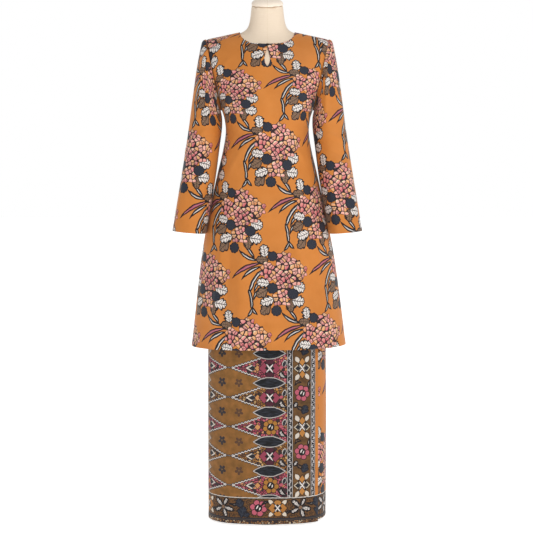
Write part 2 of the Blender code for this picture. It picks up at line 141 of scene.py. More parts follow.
# fill, vein, how many lobes on the edge, how many veins, outline in millimetres, how blunt the ends are
leafKinds = {
    "white": ("white", "grey", 3, 5, 2.4, 3.2),
    "brown": ("brown", "brownVein", 2, 5, 2.1, 2.6),
    "navy": ("navy", "navyVein", 2, 3, 1.4, 2.6),
    "blade": ("mauve", "mauveVein", 0, 0, 1.8, 2.0),
    "stem": ("silver", "silverShade", 0, -1, 2.0, 2.0),
    "stalk": ("silver", "silverShade", 0, -1, 2.0, 6.0),
}
bouquet = {
    "pitch": (227.0, 184.0), "wobble": 2.8, "wobbleSize": 15.0,
    "floret": 11.6, "floretLine": 1.1, "floretRound": 0.52, "head": 30.0, "heart": 0.27,
    "petal": 6.0, "petalLine": 0.5, "bloomLine": 2.2,
    # share of the florets up to the next row, colour
    "rose": [(0.0, "#DB7F81"), (0.26, "#E6988F"), (0.48, "#D0646C"), (0.62, "#E9A59A"), (0.80, "#DF8A86"),
             (0.90, "#E3A46C")],
    "peach": [(0.0, "#E4A265"), (0.40, "#DA8D55"), (0.65, "#ECB57E"), (0.85, "#D9705F")],
    # middle of each patch that repeats as one; a motif belongs to the patch it lies in
    "patches": {"core": (0.0, 0.0), "left": (-90.0, -12.0), "top": (-62.0, 78.0), "foot": (-6.0, -84.0),
                "heel": (-84.0, -110.0)},
    # x, y, radius of the clusters of florets
    "clusters": [(14, 38, 32), (54, 13, 25), (-34, 18, 24), (11, -10, 28), (3, -60, 25), (6, -38, 24),
                 (35, -8, 24)],
    # patch, kind, x, y, turn, length, width, bend
    "leaves": [
        ("top", "stem", -84, 74, 124, 44, 6.8, -1.2), ("top", "stem", -89, 62, 150, 58, 8.0, 1.6),
        ("left", "stalk", -71, -5, 235, 74, 8.4, -1.7), ("left", "stalk", -88, -60, 276, 54, 6.6, 0.8),
        ("left", "stem", -72, -46, 58, 32, 6.4, 0.9), ("left", "stem", -66, -22, 228, 40, 6.4, -1.4),
        ("heel", "stem", -91, -97, 240, 29, 6.6, 0.7), ("heel", "stem", -79, -95, 300, 23, 6.6, -0.6),
        ("left", "stem", -82, 19, 209, 62, 8.0, -1.5),
        ("left", "blade", -96, 27, 204, 92, 10.0, -1.6), ("top", "brown", -50, 52, 172, 35, 23, 0.0),
        ("top", "white", -43, 77, 97, 36, 26, 0.0),
        ("core", "brown", -55, -43, 208, 38, 28, 0.0), ("core", "white", -51, -14, 168, 37, 26, 0.0),
        ("foot", "brown", -47, -92, 222, 36, 27, 0.0), ("core", "white", -42, -68, 198, 40, 27, 0.0),
        ("foot", "brown", 26, -84, 266, 37, 23, 0.0), ("foot", "white", 48, -72, 350, 36, 31, 0.0),
        ("core", "white", 53, -32, 340, 36, 31, 0.0),
    ],
    # patch, x, y, radius
    "blooms": [("top", -20, 60, 15), ("core", -25, -31, 16.5), ("core", 33, -50, 16.5),
               ("foot", -16, -96, 16)],
}


def repeatPatch(tree, cloth, middle, pitch):
    # coordinates in the bouquet that a place belongs to; every second row is shifted by half a repeat
    scale = (1 / pitch[0], 1 / pitch[1], 1)
    start = (0.5 - middle[0] / pitch[0], 0.5 - middle[1] / pitch[1], 0)
    across, up = splitFlat(tree, add(tree, "Mapping", cloth, start, (0, 0, 0), scale))
    row = add(tree, "Math FLOOR", up)
    shifted = add(tree, "Math MULTIPLY_ADD", row, -0.5, across)
    x = add(tree, "Math FRACT", shifted)
    y = add(tree, "Math FRACT", up)
    corner = (middle[0] - pitch[0] / 2, middle[1] - pitch[1] / 2, 0)
    return add(tree, "Mapping", add(tree, "CombineXYZ", x, y), corner, (0, 0, 0), (pitch[0], pitch[1], 1))


def splitFlat(tree, spot):
    # the two flat coordinates as plain values
    along = add(tree, "VectorMath DOT_PRODUCT", spot, (1, 0, 0))
    return along, add(tree, "VectorMath DOT_PRODUCT", spot, (0, 1, 0))


def paint(tree, under, ink, mask):
    # covers a colour with another where the mask is 1; each is an ink's name, a hex value or a node
    under, ink = (hexColour(inks.get(c, c)) if isinstance(c, str) else c for c in (under, ink))
    return add(tree, "Mix", mask, under, ink, data_type='RGBA')


def localFrame(tree, spot, x, y, turn, length, width):
    # coordinates that run from -1 to 1 over a motif
    local = add(tree, "Mapping", spot, (x, y, 0), (0, 0, math.radians(turn)), (length / 2, width / 2, 1),
                vector_type='TEXTURE')
    along, aside = splitFlat(tree, local)
    return local, along, aside


def paintLeaf(tree, under, spot, x, y, turn, length, width, bend, kind):
    fill, vein, lobes, veins, line, blunt = leafKinds[kind]
    _, along, aside = localFrame(tree, spot, x, y, turn, length, width)
    square = add(tree, "Math MULTIPLY", along, along)
    if bend:
        arch = add(tree, "Math MULTIPLY_ADD", square, bend, -bend * 0.5)
        aside = add(tree, "Math ADD", aside, arch)
    side = add(tree, "Math ABSOLUTE", aside)
    taper = add(tree, "Math POWER", square, blunt / 2) if blunt != 2.0 else square
    reach = add(tree, "Math SUBTRACT", 1.0, taper)
    lean = add(tree, "Math MULTIPLY_ADD", side, -0.55, along)
    if lobes:
        turns = add(tree, "Math MULTIPLY", lean, lobes * math.pi / 2)
        wave = add(tree, "Math ABSOLUTE", add(tree, "Math SINE", turns))
        depth = add(tree, "Math MULTIPLY_ADD", wave, 0.38, 0.70)
        reach = add(tree, "Math MULTIPLY", reach, depth)
    rim = add(tree, "Math SUBTRACT", reach, side)
    body = add(tree, "Math GREATER_THAN", rim, 2 * line / width)
    shape = add(tree, "Math GREATER_THAN", rim, -2 * line / width)
    if veins > 0:
        turns = add(tree, "Math MULTIPLY", lean, veins * math.pi)
        rib = add(tree, "Math GREATER_THAN", add(tree, "Math SINE", turns), 0.80)
        spine = add(tree, "Math LESS_THAN", side, 0.08)
        mark = add(tree, "Math MAXIMUM", rib, spine)
    elif veins < 0:
        mark = add(tree, "Math LESS_THAN", aside, -0.12)
    else:
        mark = add(tree, "Math LESS_THAN", side, 0.14)
    colour = paint(tree, "outline", paint(tree, fill, vein, mark), body)
    return paint(tree, under, colour, shape)


def paintBloom(tree, under, spot, x, y, radius, petals, depth, colours, heart=0.0, outline="outline"):
    # a round flower: petal, line and middle colours; heart is the share of the radius that the middle takes
    local = add(tree, "Mapping", spot, (x, y, 0), (0, 0, 0.3), (radius, radius, 1), vector_type='TEXTURE')
    distance = add(tree, "VectorMath LENGTH", local)
    along, aside = splitFlat(tree, local)
    angle = add(tree, "Math ARCTAN2", aside, along)
    wave = add(tree, "Math SINE", add(tree, "Math MULTIPLY", angle, petals / 2))
    wave = add(tree, "Math ABSOLUTE", wave)
    edge = add(tree, "Math MULTIPLY_ADD", wave, depth, 1 - depth)
    rim = add(tree, "Math SUBTRACT", edge, distance)
    shape = add(tree, "Math GREATER_THAN", rim, 0.0)
    body = add(tree, "Math GREATER_THAN", rim, bouquet["bloomLine"] / radius)
    gap = add(tree, "Math LESS_THAN", wave, 0.22)
    petal, line, middle = colours
    colour = paint(tree, petal, line, gap)
    if heart:
        ring = add(tree, "Math LESS_THAN", distance, heart)
        core = add(tree, "Math LESS_THAN", distance, heart * 0.62)
        colour = paint(tree, colour, outline, ring)
        colour = paint(tree, colour, middle, core)
    return paint(tree, under, paint(tree, outline, colour, body), shape)


def steppedRamp(tree, value, stops):
    ramp = add(tree, "ValToRGB", value)
    ramp.color_ramp.interpolation = 'CONSTANT'
    while len(ramp.color_ramp.elements) < len(stops):
        ramp.color_ramp.elements.new(1.0)
    for element, (place, colour) in zip(ramp.color_ramp.elements, stops):
        element.position = place
        element.color = hexColour(colour)
    return ramp


def paintFlorets(tree, under, spot, clusters):
    # heads of small round petals about a peach heart: whole petals are in or out, so the edge is scalloped
    spot = drawnByHand(tree, spot, 26.0, 9.0)
    cells = add(tree, "TexVoronoi", spot, 1 / bouquet["floret"], voronoi_dimensions='2D')
    seams = add(tree, "TexVoronoi", spot, 1 / bouquet["floret"], voronoi_dimensions='2D',
                feature='DISTANCE_TO_EDGE')
    for texture in (cells, seams):
        texture.inputs["Randomness"].default_value = 0.92
    middle = cells.outputs["Position"]
    nearest = None
    for x, y, radius in clusters:
        reach = add(tree, "VectorMath DISTANCE", middle, (x, y, 0))
        inside = add(tree, "Math DIVIDE", reach, radius)
        nearest = inside if nearest is None else add(tree, "Math MINIMUM", nearest, inside)
    member = add(tree, "Math LESS_THAN", nearest, 1.0)
    chance = add(tree, "SeparateColor", cells.outputs["Color"])
    petal = steppedRamp(tree, chance.outputs[0], bouquet["rose"])
    peach = steppedRamp(tree, chance.outputs[1], bouquet["peach"])
    heads = add(tree, "TexVoronoi", middle, 1 / bouquet["head"], voronoi_dimensions='2D')
    heart = add(tree, "Math LESS_THAN", heads, bouquet["heart"])
    colour = paint(tree, petal, peach, heart)
    offset = add(tree, "VectorMath SUBTRACT", spot, middle)
    lit = add(tree, "VectorMath DOT_PRODUCT", offset, (-0.6, 0.8, 0))
    lighter = add(tree, "MapRange", lit, -4.5, 5.0, 0.0, 0.42)
    colour = paint(tree, colour, "#F4C9AE", lighter)
    crescent = add(tree, "Math GREATER_THAN", lit, 2.8)
    some = add(tree, "Math GREATER_THAN", chance.outputs[2], 0.72)
    colour = paint(tree, colour, "#EFD6AF", add(tree, "Math MULTIPLY", crescent, some))
    petals = add(tree, "TexVoronoi", spot, 1 / bouquet["petal"], voronoi_dimensions='2D',
                 feature='DISTANCE_TO_EDGE')
    crease = add(tree, "Math LESS_THAN", petals, bouquet["petalLine"] / bouquet["petal"])
    split = add(tree, "Math GREATER_THAN", chance.outputs[1], 0.62)
    colour = paint(tree, colour, "#6E383F", add(tree, "Math MULTIPLY", crease, split))
    seam = add(tree, "Math LESS_THAN", seams, bouquet["floretLine"] / bouquet["floret"])
    corner = add(tree, "Math GREATER_THAN", cells, bouquet["floretRound"])
    colour = paint(tree, colour, "#2A181C", add(tree, "Math MAXIMUM", seam, corner))
    return paint(tree, under, colour, member)


def printGroup(name):
    tree = bpy.data.node_groups.new(name, "ShaderNodeTree")
    tree.interface.new_socket("Cloth", in_out='INPUT', socket_type='NodeSocketVector')
    tree.interface.new_socket("Colour", in_out='OUTPUT', socket_type='NodeSocketColor')
    cloth = tree.nodes.new("NodeGroupInput").outputs["Cloth"]
    return tree, cloth


def finishGroup(tree, colour):
    out = tree.nodes.new("NodeGroupOutput")
    tree.links.new(shown(colour), out.inputs["Colour"])
    return tree


def drawnByHand(tree, cloth, size, amount):
    # bends the coordinates a little, so that no line is ruled
    noise = add(tree, "TexNoise", cloth, 1 / size, 1.0, noise_dimensions='2D')
    centred = add(tree, "VectorMath ADD", cloth, (-amount / 2, -amount / 2, 0))
    return add(tree, "VectorMath MULTIPLY_ADD", noise.outputs["Color"], (amount, amount, 0), centred)


def makeBouquetPrint():
    tree, cloth = printGroup("bouquet print")
    cloth = drawnByHand(tree, cloth, bouquet["wobbleSize"], bouquet["wobble"])
    patches = {name: repeatPatch(tree, cloth, middle, bouquet["pitch"])
               for name, middle in bouquet["patches"].items()}
    mottle = add(tree, "TexNoise", cloth, 0.02, 4.0, noise_dimensions='2D')
    colour = paint(tree, "ochre", "paleOchre", mottle)
    for patch, kind, x, y, turn, length, width, bend in bouquet["leaves"]:
        colour = paintLeaf(tree, colour, patches[patch], x, y, turn, length, width, bend, kind)
    colour = paintFlorets(tree, colour, patches["core"], bouquet["clusters"])
    for patch, x, y, radius in bouquet["blooms"]:
        colour = paintBloom(tree, colour, patches[patch], x, y, radius, 9, 0.10, ("navy", "navyVein", "navy"))
    return finishGroup(tree, colour)


def paintShape(tree, under, ink, reach, rim):
    # covers what lies within a reach of 1, and lays a dark line from there to the rim
    if rim > 1.0:
        under = paint(tree, under, "outline", add(tree, "Math LESS_THAN", reach, rim))
    return paint(tree, under, ink, add(tree, "Math LESS_THAN", reach, 1.0))


def paintOval(tree, under, spot, x, y, turn, length, width, ink, line=0.0, pointed=False):
    local, along, aside = localFrame(tree, spot, x, y, turn, length, width)
    if pointed:
        side = add(tree, "Math ABSOLUTE", aside)
        reach = add(tree, "Math MULTIPLY_ADD", along, along, side)
    else:
        reach = add(tree, "VectorMath LENGTH", local)
    return paintShape(tree, under, ink, reach, 1 + 2 * line / min(length, width))


def paintDiamond(tree, under, spot, x, y, length, width, ink, line=0.0):
    _, along, aside = localFrame(tree, spot, x, y, 0, length, width)
    side = add(tree, "Math ABSOLUTE", aside)
    reach = add(tree, "Math ADD", add(tree, "Math ABSOLUTE", along), side)
    return paintShape(tree, under, ink, reach, 1 + 3 * line / min(length, width))


def paintCross(tree, under, spot, x, y, reach, width, ink):
    # two crossed strokes with round ends
    for turn in (52, 128):
        under = paintOval(tree, under, spot, x, y, turn, reach * 2, width, ink, 0.9)
    return under


def paintSquareFlower(tree, under, spot, x, y, size, top, side):
    # four petals in a square, with crossed strokes over a dark middle
    for step in (-1, 1):
        height = y + step * size * 0.50
        under = paintOval(tree, under, spot, x, height, 90, size * 0.86, size * 0.92, top, 1.6)
    for step in (-1, 1):
        under = paintDiamond(tree, under, spot, x + step * size * 0.58, y, size, size * 1.15, side, 1.4)
    under = paintDiamond(tree, under, spot, x, y, size * 1.02, size * 1.02, "outline")
    return paintCross(tree, under, spot, x, y, size * 0.54, size * 0.15, "white")


def paintRoundFlower(tree, under, spot, x, y, radius, petal, petals=6):
    under = paintBloom(tree, under, spot, x, y, radius, petals, 0.22, (petal, "#3A1C24", "outline"), 0.44)
    # two pale stamens; shares of the radius, and the turn in degrees
    for right, above, turn, length, width in ((-0.12, 0.10, 60, 0.46, 0.14), (0.16, -0.06, 75, 0.40, 0.12)):
        under = paintOval(tree, under, spot, x + radius * right, y + radius * above, turn, radius * length,
                          radius * width, "white")
    return under


def paintAll(tree, under, spot, motifs):
    # paints motifs in turn; each names its painter, then what the painter is told after the spot
    for painter, *values in motifs:
        under = painter(tree, under, spot, *values)
    return under


def wrapped(tree, value, middle, pitch):
    # distance from the nearest of the lines that repeat with this pitch
    turns = add(tree, "Math MULTIPLY_ADD", value, 1 / pitch, 0.5 - middle / pitch)
    share = add(tree, "Math FRACT", turns)
    return add(tree, "Math MULTIPLY_ADD", share, pitch, -pitch / 2)


# panel of facing points on the front of the wrap, in millimetres from the middle and up from the hem
# "tip", "slope" and "open" shape the points; "lens" is the middle, length and height of the shape between two
kepala = {
    "pitch": 85.5, "lensStart": 156.0, "mirror": -108.0, "tip": -103.0, "slope": 0.344, "open": -17.0,
    "pointCells": 7.5, "rose": ("#C45A69", "#CD6C75", "#963A4B", "#3A282C", "#BC5262", "#CF8A60"),
    "ochre": ("#A8702C", "#BE8440", "#8A5B26", "#3A2A22", "#A06828", "#CFA468"),
    "lens": (10.0, 94.0, 33.0), "frames": ((61.0, 78.0), (133.0, 148.0)), "column": 106.0,
    "columnPitch": 171.0, "plainUntil": 163.0, "border": 78.0, "borderPitch": 228.0,
    "scatter": ((-131.0, 14.0, "#322D30"), (-78.0, 13.0, "#5A3E2B")),
}
# middle of each group along the hem, and its motifs
borderGroups = (
    (-131, (
        (paintLeaf, 38, 60, 12, 40, 4.6, -3.0, "stem"), (paintLeaf, -36, 34, 200, 34, 4.2, -2.4, "stem"),
        (paintLeaf, -14, 60, 140, 32, 13, 0.0, "white"), (paintLeaf, 18, 43, -14, 32, 13, 0.0, "white"),
        (paintLeaf, 8, 63, 62, 26, 11, 0.0, "white"), (paintLeaf, -17, 39, 206, 28, 12, 0.0, "white"),
        (paintLeaf, 6, 30, 290, 28, 12, 0.0, "white"), (paintOval, 0, 47, 0, 10, 10, "brown", 1.6))),
    (-76, (
        (paintLeaf, -4, 60, 108, 30, 24, 0.0, "navy"), (paintLeaf, 4, 35, 76, 34, 28, 0.0, "navy"),
        (paintLeaf, 16, 27, 20, 20, 14, 0.0, "navy"))),
    (-26, ((paintRoundFlower, 0, 47, 26, "#BE5C6C"), (paintLeaf, 22, 62, 20, 30, 4.2, 2.2, "stem"))),
    (30, (
        (paintOval, -19, 64, 135, 20, 11, "#DECFBC", 1.2, True),
        (paintOval, 19, 64, 45, 20, 11, "#DECFBC", 1.2, True),
        (paintOval, -19, 30, 225, 20, 11, "#DECFBC", 1.2, True),
        (paintOval, 19, 30, 315, 20, 11, "#DECFBC", 1.2, True),
        (paintSquareFlower, 0, 47, 25, "#B57A38", "#B27432"))),
)
# middle of each group up the band of flowers, and its motifs
columnGroups = (
    (112, (
        (paintOval, -15, 25, 122, 21, 12, "#D9CCBC", 1.5, True),
        (paintOval, 15, 25, 58, 21, 12, "#D9CCBC", 1.5, True),
        (paintOval, -15, -25, 238, 21, 12, "#D9CCBC", 1.5, True),
        (paintOval, 15, -25, 302, 21, 12, "#D9CCBC", 1.5, True),
        (paintDiamond, 0, -18, 18, 23, "#BC7F3C", 1.3), (paintDiamond, -14, 0, 23, 21, "#C9B99F", 1.4),
        (paintDiamond, -12.5, 0, 18, 16.5, "#222128"),
        (paintDiamond, 0, 18, 18, 23, "#BC7F3C", 1.3), (paintDiamond, 14, 0, 23, 21, "#C9B99F", 1.4),
        (paintDiamond, 12.5, 0, 18, 16.5, "#222128"), (paintCross, 0, 0, 14, 3.6, "white"),
        (paintLeaf, 7, 50, 65, 28, 25, 0.0, "navy"), (paintLeaf, -8, 55, 150, 18, 8, 0.0, "brown"))),
    (210, (
        (paintLeaf, 22, 26, 80, 26, 5, 1.5, "stem"), (paintLeaf, -20, -33, 60, 18, 10, 0.0, "white"),
        (paintLeaf, -14, 31, 20, 20, 7, 1.5, "brown"), (paintRoundFlower, 0, 0, 25, "#BE5C6C"))),
)
# small diamonds at the tip of each point, and the buds beside the flower at its wide end
tipMotifs = ((paintDiamond, -42, 0, 33, 19, "#D9CEC2", 1.0), (paintDiamond, -39, 0, 25, 14.5, "#26242A"),
             (paintDiamond, -24, 0, 16, 18, "#C98C55", 1.2))
budMotifs = ((paintOval, 53, 14, 70, 20, 12, "#CFC6BF", 0.9), (paintOval, 53, 13, 70, 17, 8.6, "#25262D"),
             (paintLeaf, 48, -19, 130, 26, 11, 1.2, "white"),
             (paintOval, 44, 2, 20, 13, 9, "#BE5A68", 1.1, True))


def between(tree, value, low, high):
    above = add(tree, "Math GREATER_THAN", value, low)
    below = add(tree, "Math LESS_THAN", value, high)
    return add(tree, "Math MULTIPLY", above, below)


def cellColours(tree, spot, size, colours, line):
    # small broken shapes of several colours with a dark line round each
    cells = add(tree, "TexVoronoi", spot, 1 / size, voronoi_dimensions='2D')
    seams = add(tree, "TexVoronoi", spot, 1 / size, voronoi_dimensions='2D', feature='DISTANCE_TO_EDGE')
    chance = add(tree, "SeparateColor", cells.outputs["Color"])
    ramp = steppedRamp(tree, chance, [(index / len(colours), colour) for index, colour in enumerate(colours)])
    return paint(tree, ramp, "#2E1E22", add(tree, "Math LESS_THAN", seams, line / size))


def paintFrame(tree, under, spot, across, up, low, high):
    # narrow band with light edges and a broken scroll between them
    middle = (low + high) / 2
    under = paint(tree, under, "#19161B", between(tree, across, low, high))
    swing = add(tree, "Math SINE", add(tree, "Math MULTIPLY", up, 0.36))
    centre = add(tree, "Math MULTIPLY_ADD", swing, (high - low) * 0.17, middle)
    off = add(tree, "Math ABSOLUTE", add(tree, "Math SUBTRACT", across, centre))
    patches = add(tree, "TexNoise", spot, 0.13, 2.0, noise_dimensions='2D')
    width = add(tree, "MapRange", patches, 0.38, 0.62, 0.0, 2.9)
    scroll = add(tree, "Math LESS_THAN", off, width)
    inside = between(tree, across, low + 2.6, high - 2.6)
    under = paint(tree, under, "#B4AEAD", add(tree, "Math MULTIPLY", scroll, inside))
    ticks = add(tree, "Math SINE", add(tree, "Math MULTIPLY", up, 1.05))
    ticks = add(tree, "Math GREATER_THAN", ticks, 0.55)
    tick = add(tree, "Math MULTIPLY", ticks, between(tree, across, middle - 1.6, middle + 1.6))
    under = paint(tree, under, "#CBC5C2", tick)
    for edge in (low + 1.6, high - 1.6):
        line = add(tree, "Math ABSOLUTE", add(tree, "Math ADD", across, -edge))
        under = paint(tree, under, "#C9C2BE", add(tree, "Math LESS_THAN", line, 0.7))
    return under


def paintBorder(tree, under, spot, up):
    # plain ground of the band along the hem, with its light and dark lines
    top = kepala["border"]
    specks = add(tree, "TexVoronoi", spot, 0.19, voronoi_dimensions='2D')
    speck = add(tree, "Math LESS_THAN", specks, 0.34)
    ground = paint(tree, "#6A4622", "#33241A", speck)
    colour = paint(tree, under, ground, add(tree, "Math LESS_THAN", up, top))
    for low, high, ink in ((top - 1.8, top + 0.4, "#D3CBC2"), (top - 4.2, top - 1.8, "#33271F"),
                           (10.0, 18.5, "#29272D"), (13.2, 14.6, "#5A4A3C")):
        colour = paint(tree, colour, ink, between(tree, up, low, high))
    edge = cellColours(tree, spot, 6.0, ("#9A6C3E", "#7C5429", "#A87A4A", "#3A2C26", "#CDB592"), 0.9)
    return paint(tree, colour, edge, add(tree, "Math LESS_THAN", up, 10.0))


def makeBorderPrint():
    # the band along the hem with its row of different flowers
    tree, cloth = printGroup("hem border print")
    spot = drawnByHand(tree, cloth, 12.0, 2.0)
    across, up = splitFlat(tree, spot)
    colour = paintBorder(tree, paint(tree, "#8F5F2E", "#A8733C", 0.5), spot, up)
    for middle, motifs in borderGroups:
        at = add(tree, "CombineXYZ", wrapped(tree, across, middle, kepala["borderPitch"]), up)
        colour = paintAll(tree, colour, at, motifs)
    return finishGroup(tree, colour)


def paintPoints(tree, under, spot, across, up):
    # rows of long triangles with zigzag edges, a large flower at the wide end of each
    pitch = kepala["pitch"]
    rows = add(tree, "Math MULTIPLY_ADD", up, 1 / pitch, -kepala["lensStart"] / pitch)
    row = add(tree, "Math FLOOR", rows)
    halves = add(tree, "Math FRACT", add(tree, "Math MULTIPLY", row, 0.5))
    pink = add(tree, "Math GREATER_THAN", halves, 0.25)
    lower = add(tree, "Math LESS_THAN", row, 2.0)
    blossom = add(tree, "Math MULTIPLY", pink, lower)
    height = wrapped(tree, up, kepala["lensStart"] + pitch / 2, pitch)
    at = add(tree, "CombineXYZ", across, height)
    slope = kepala["slope"]
    reach = add(tree, "Math MULTIPLY_ADD", across, slope, -kepala["tip"] * slope)
    inset = add(tree, "Math SUBTRACT", reach, add(tree, "Math ABSOLUTE", height))
    tooth = add(tree, "Math PINGPONG", across, 4.6)
    centred = add(tree, "Math ADD", inset, -1.7)
    inset = add(tree, "Math MULTIPLY_ADD", tooth, 0.75, centred)
    limit = kepala["frames"][0][0]
    full = between(tree, across, kepala["open"], limit)
    wide = between(tree, inset, 0.0, 500)
    before = add(tree, "Math LESS_THAN", across, limit)
    body = add(tree, "Math MAXIMUM", full, add(tree, "Math MULTIPLY", wide, before))
    rose = cellColours(tree, spot, kepala["pointCells"], kepala["rose"], 0.95)
    ochre = cellColours(tree, spot, kepala["pointCells"], kepala["ochre"], 0.95)
    colour = paint(tree, under, paint(tree, ochre, rose, pink), body)
    narrow = add(tree, "Math LESS_THAN", across, kepala["open"] + 4)
    for low, high, ink in ((-2.6, 0.0, "#332A2E"), (0.0, 2.7, "#DDD5CD"), (2.7, 4.8, "#2D2126"),
                           (9.4, 11.4, "#2D2126")):
        line = add(tree, "Math MULTIPLY", between(tree, inset, low, high), narrow)
        colour = paint(tree, colour, ink, line)
    colour = paintAll(tree, colour, at, tipMotifs)
    squares = paintSquareFlower(tree, colour, at, 11, 0, 28, "#4C1C2B", "#963F52")
    rounds = paintRoundFlower(tree, colour, at, 14, 0, 25, "#AE7630", 7)
    return paintAll(tree, paint(tree, squares, rounds, blossom), at, budMotifs)


def paintColumn(tree, under, across, up):
    # upright band of flowers beside the points
    aside = add(tree, "Math ADD", across, -kepala["column"])
    for middle, motifs in columnGroups:
        at = add(tree, "CombineXYZ", aside, wrapped(tree, up, middle, kepala["columnPitch"]))
        under = paintAll(tree, under, at, motifs)
    return under


def makeWrapPrint(badan):
    tree, cloth = printGroup("wrap print")
    spot = drawnByHand(tree, cloth, 12.0, 2.0)
    straight, up = splitFlat(tree, spot)
    shifted = add(tree, "Math ADD", straight, -kepala["mirror"])
    away = add(tree, "Math ABSOLUTE", shifted)
    across = add(tree, "Math ADD", away, kepala["mirror"])
    clouds = add(tree, "TexNoise", spot, 0.05, 5.0, noise_dimensions='2D')
    mottle = add(tree, "MapRange", clouds, 0.30, 0.70, 0.0, 1.0)
    colour = paint(tree, "#7C5423", "#97652F", mottle)
    level = wrapped(tree, up, kepala["lensStart"], kepala["pitch"])
    at = add(tree, "CombineXYZ", straight, level)
    for x, radius, ink in kepala["scatter"]:
        colour = paintBloom(tree, colour, at, x, 0, radius, 5, 0.55, (ink, "#8A6338", "#8A6338"), 0.24, ink)
    colour = paintPoints(tree, colour, spot, across, up)
    at = add(tree, "CombineXYZ", across, level)
    x, length, height = kepala["lens"]
    colour = paintOval(tree, colour, at, x, 0, 0, length + 5, height + 3.5, "#2E2A30", 0.0, True)
    colour = paintOval(tree, colour, at, x, 0, 0, length + 2, height + 1, "#C4BBB4", 0.0, True)
    streaks = add(tree, "Mapping", spot, (0, 0, 0), (0, 0, 0.12), (0.05, 0.42, 1))
    brush = add(tree, "TexNoise", streaks, 1.0, 2.0, noise_dimensions='2D')
    brush = add(tree, "MapRange", brush, 0.42, 0.64, 0.0, 1.0)
    navy = paint(tree, "#0A0B0E", "#2A2D37", brush)
    right = add(tree, "Math GREATER_THAN", straight, kepala["mirror"])
    lens = paint(tree, "#B08D6B", navy, right)
    colour = paintOval(tree, colour, at, x, 0, 0, length - 6, height - 3.4, lens, 0.0, True)
    beyond = add(tree, "Math GREATER_THAN", across, kepala["frames"][0][0])
    papan = paint(tree, "#523719", "#745029", mottle)
    colour = paint(tree, colour, papan, beyond)
    colour = paintColumn(tree, colour, across, up)
    for low, high in kepala["frames"]:
        colour = paintFrame(tree, colour, spot, across, up, low, high)
    group = add(tree, "Group", cloth, node_tree=badan)
    for fill, edge in (("#C87A2F", kepala["frames"][1][1]), (group, kepala["plainUntil"])):
        colour = paint(tree, colour, fill, add(tree, "Math GREATER_THAN", across, edge))
    return finishGroup(tree, paintBorder(tree, colour, spot, up))


# cloth: one grid for each panel, placed by a function and creased

def foldHeight(folds, u, v):
    # how far the cloth stands out at a place: each fold is a soft ridge (or a trough, below zero)
    # along a slightly bowed line, fading at both ends
    overrun, fadeLength = 0.25, 0.5    # shares of the crease's length
    height = 0.0
    for startU, startV, endU, endV, startWidth, depth, *shape in folds:
        spread, bow = shape or (0.0, 0.0)
        runU, runV = endU - startU, endV - startV
        length = math.hypot(runU, runV)
        along = ((u - startU) * runU + (v - startV) * runV) / length**2
        if not -overrun < along < 1 + overrun:
            continue
        aside = ((u - startU) * -runV + (v - startV) * runU) / length
        aside -= bow * 4 * along * (1 - along)
        width = startWidth * (1 + spread * along)
        if abs(aside) > 3 * width:
            continue
        fade = smoothstep((along + overrun) / fadeLength) * smoothstep((1 + overrun - along) / fadeLength)
        height += depth * math.exp(-(aside / width) ** 2) * fade
    return height


def newGrid(columns, rows):
    # a grid, with the column and the row of each vertex
    bm = bmesh.new()
    bmesh.ops.create_grid(bm, x_segments=columns, y_segments=rows, size=0.5)
    return bm, {vert: (round((vert.co.x + 0.5) * columns), round((vert.co.y + 0.5) * rows))
                for vert in bm.verts}


def makePanel(columns, rows, place, layOut, folds, swell, wraps=False):
    # place(share, up) gives a point, layOut(rows of points) the flat coordinates in metres, and
    # swell(share, up, across, up the cloth) what stands out besides the folds
    bm, spots = newGrid(columns, rows)
    points = [[place(column / columns, row / rows) for column in range(columns + 1)]
              for row in range(rows + 1)]
    flat = layOut(points)
    for vert, (column, row) in spots.items():
        vert.co = points[row][column]
    bm.normal_update()
    normals = {spot: vert.normal.copy() for vert, spot in spots.items()}
    if wraps:  # the first and last columns are one line, so they share a normal
        for row in range(rows + 1):
            shared = (normals[(0, row)] + normals[(columns, row)]).normalized()
            normals[(0, row)] = normals[(columns, row)] = shared
    for vert, spot in spots.items():
        u, v = flat[spot[1]][spot[0]]
        out = foldHeight(folds, u, v) + swell(spot[0] / columns, spot[1] / rows, u, v)
        vert.co += normals[spot] * out
    uvLayer = bm.loops.layers.uv.new("Cut")
    for face in bm.faces:
        for loop in face.loops:
            column, row = spots[loop.vert]
            loop[uvLayer].uv = flat[row][column]
    if wraps:
        bmesh.ops.remove_doubles(bm, verts=bm.verts, dist=0.00001)
    return bm


def settle(piece):
    # makes the modifiers' result the piece's own mesh
    bpy.context.view_layer.update()
    evaluated = piece.evaluated_get(bpy.context.evaluated_depsgraph_get())
    mesh = bpy.data.meshes.new_from_object(evaluated)
    piece.modifiers.clear()
    piece.data = mesh
    mesh.name = piece.name
    mesh.set_sharp_from_angle(angle=math.radians(50))
    return piece


def giveWall(piece, reverse=1):
    # the cloth's thickness goes inwards; its reverse has a finish of its own
    wall = piece.modifiers.new("Wall", 'SOLIDIFY')
    wall.thickness = sewing["wall"]
    wall.offset = -1.0
    wall.use_even_offset = False
    wall.material_offset = reverse
    return settle(piece)


def runLengths(points):
    # how far along a run of points each one lies
    lengths = [0.0]
    for before, after in zip(points, points[1:]):
        lengths.append(lengths[-1] + (after - before).length)
    return lengths


# the tunic's form, the same as the frame's, in metres; a facing of -1 is the front and 1 is the back

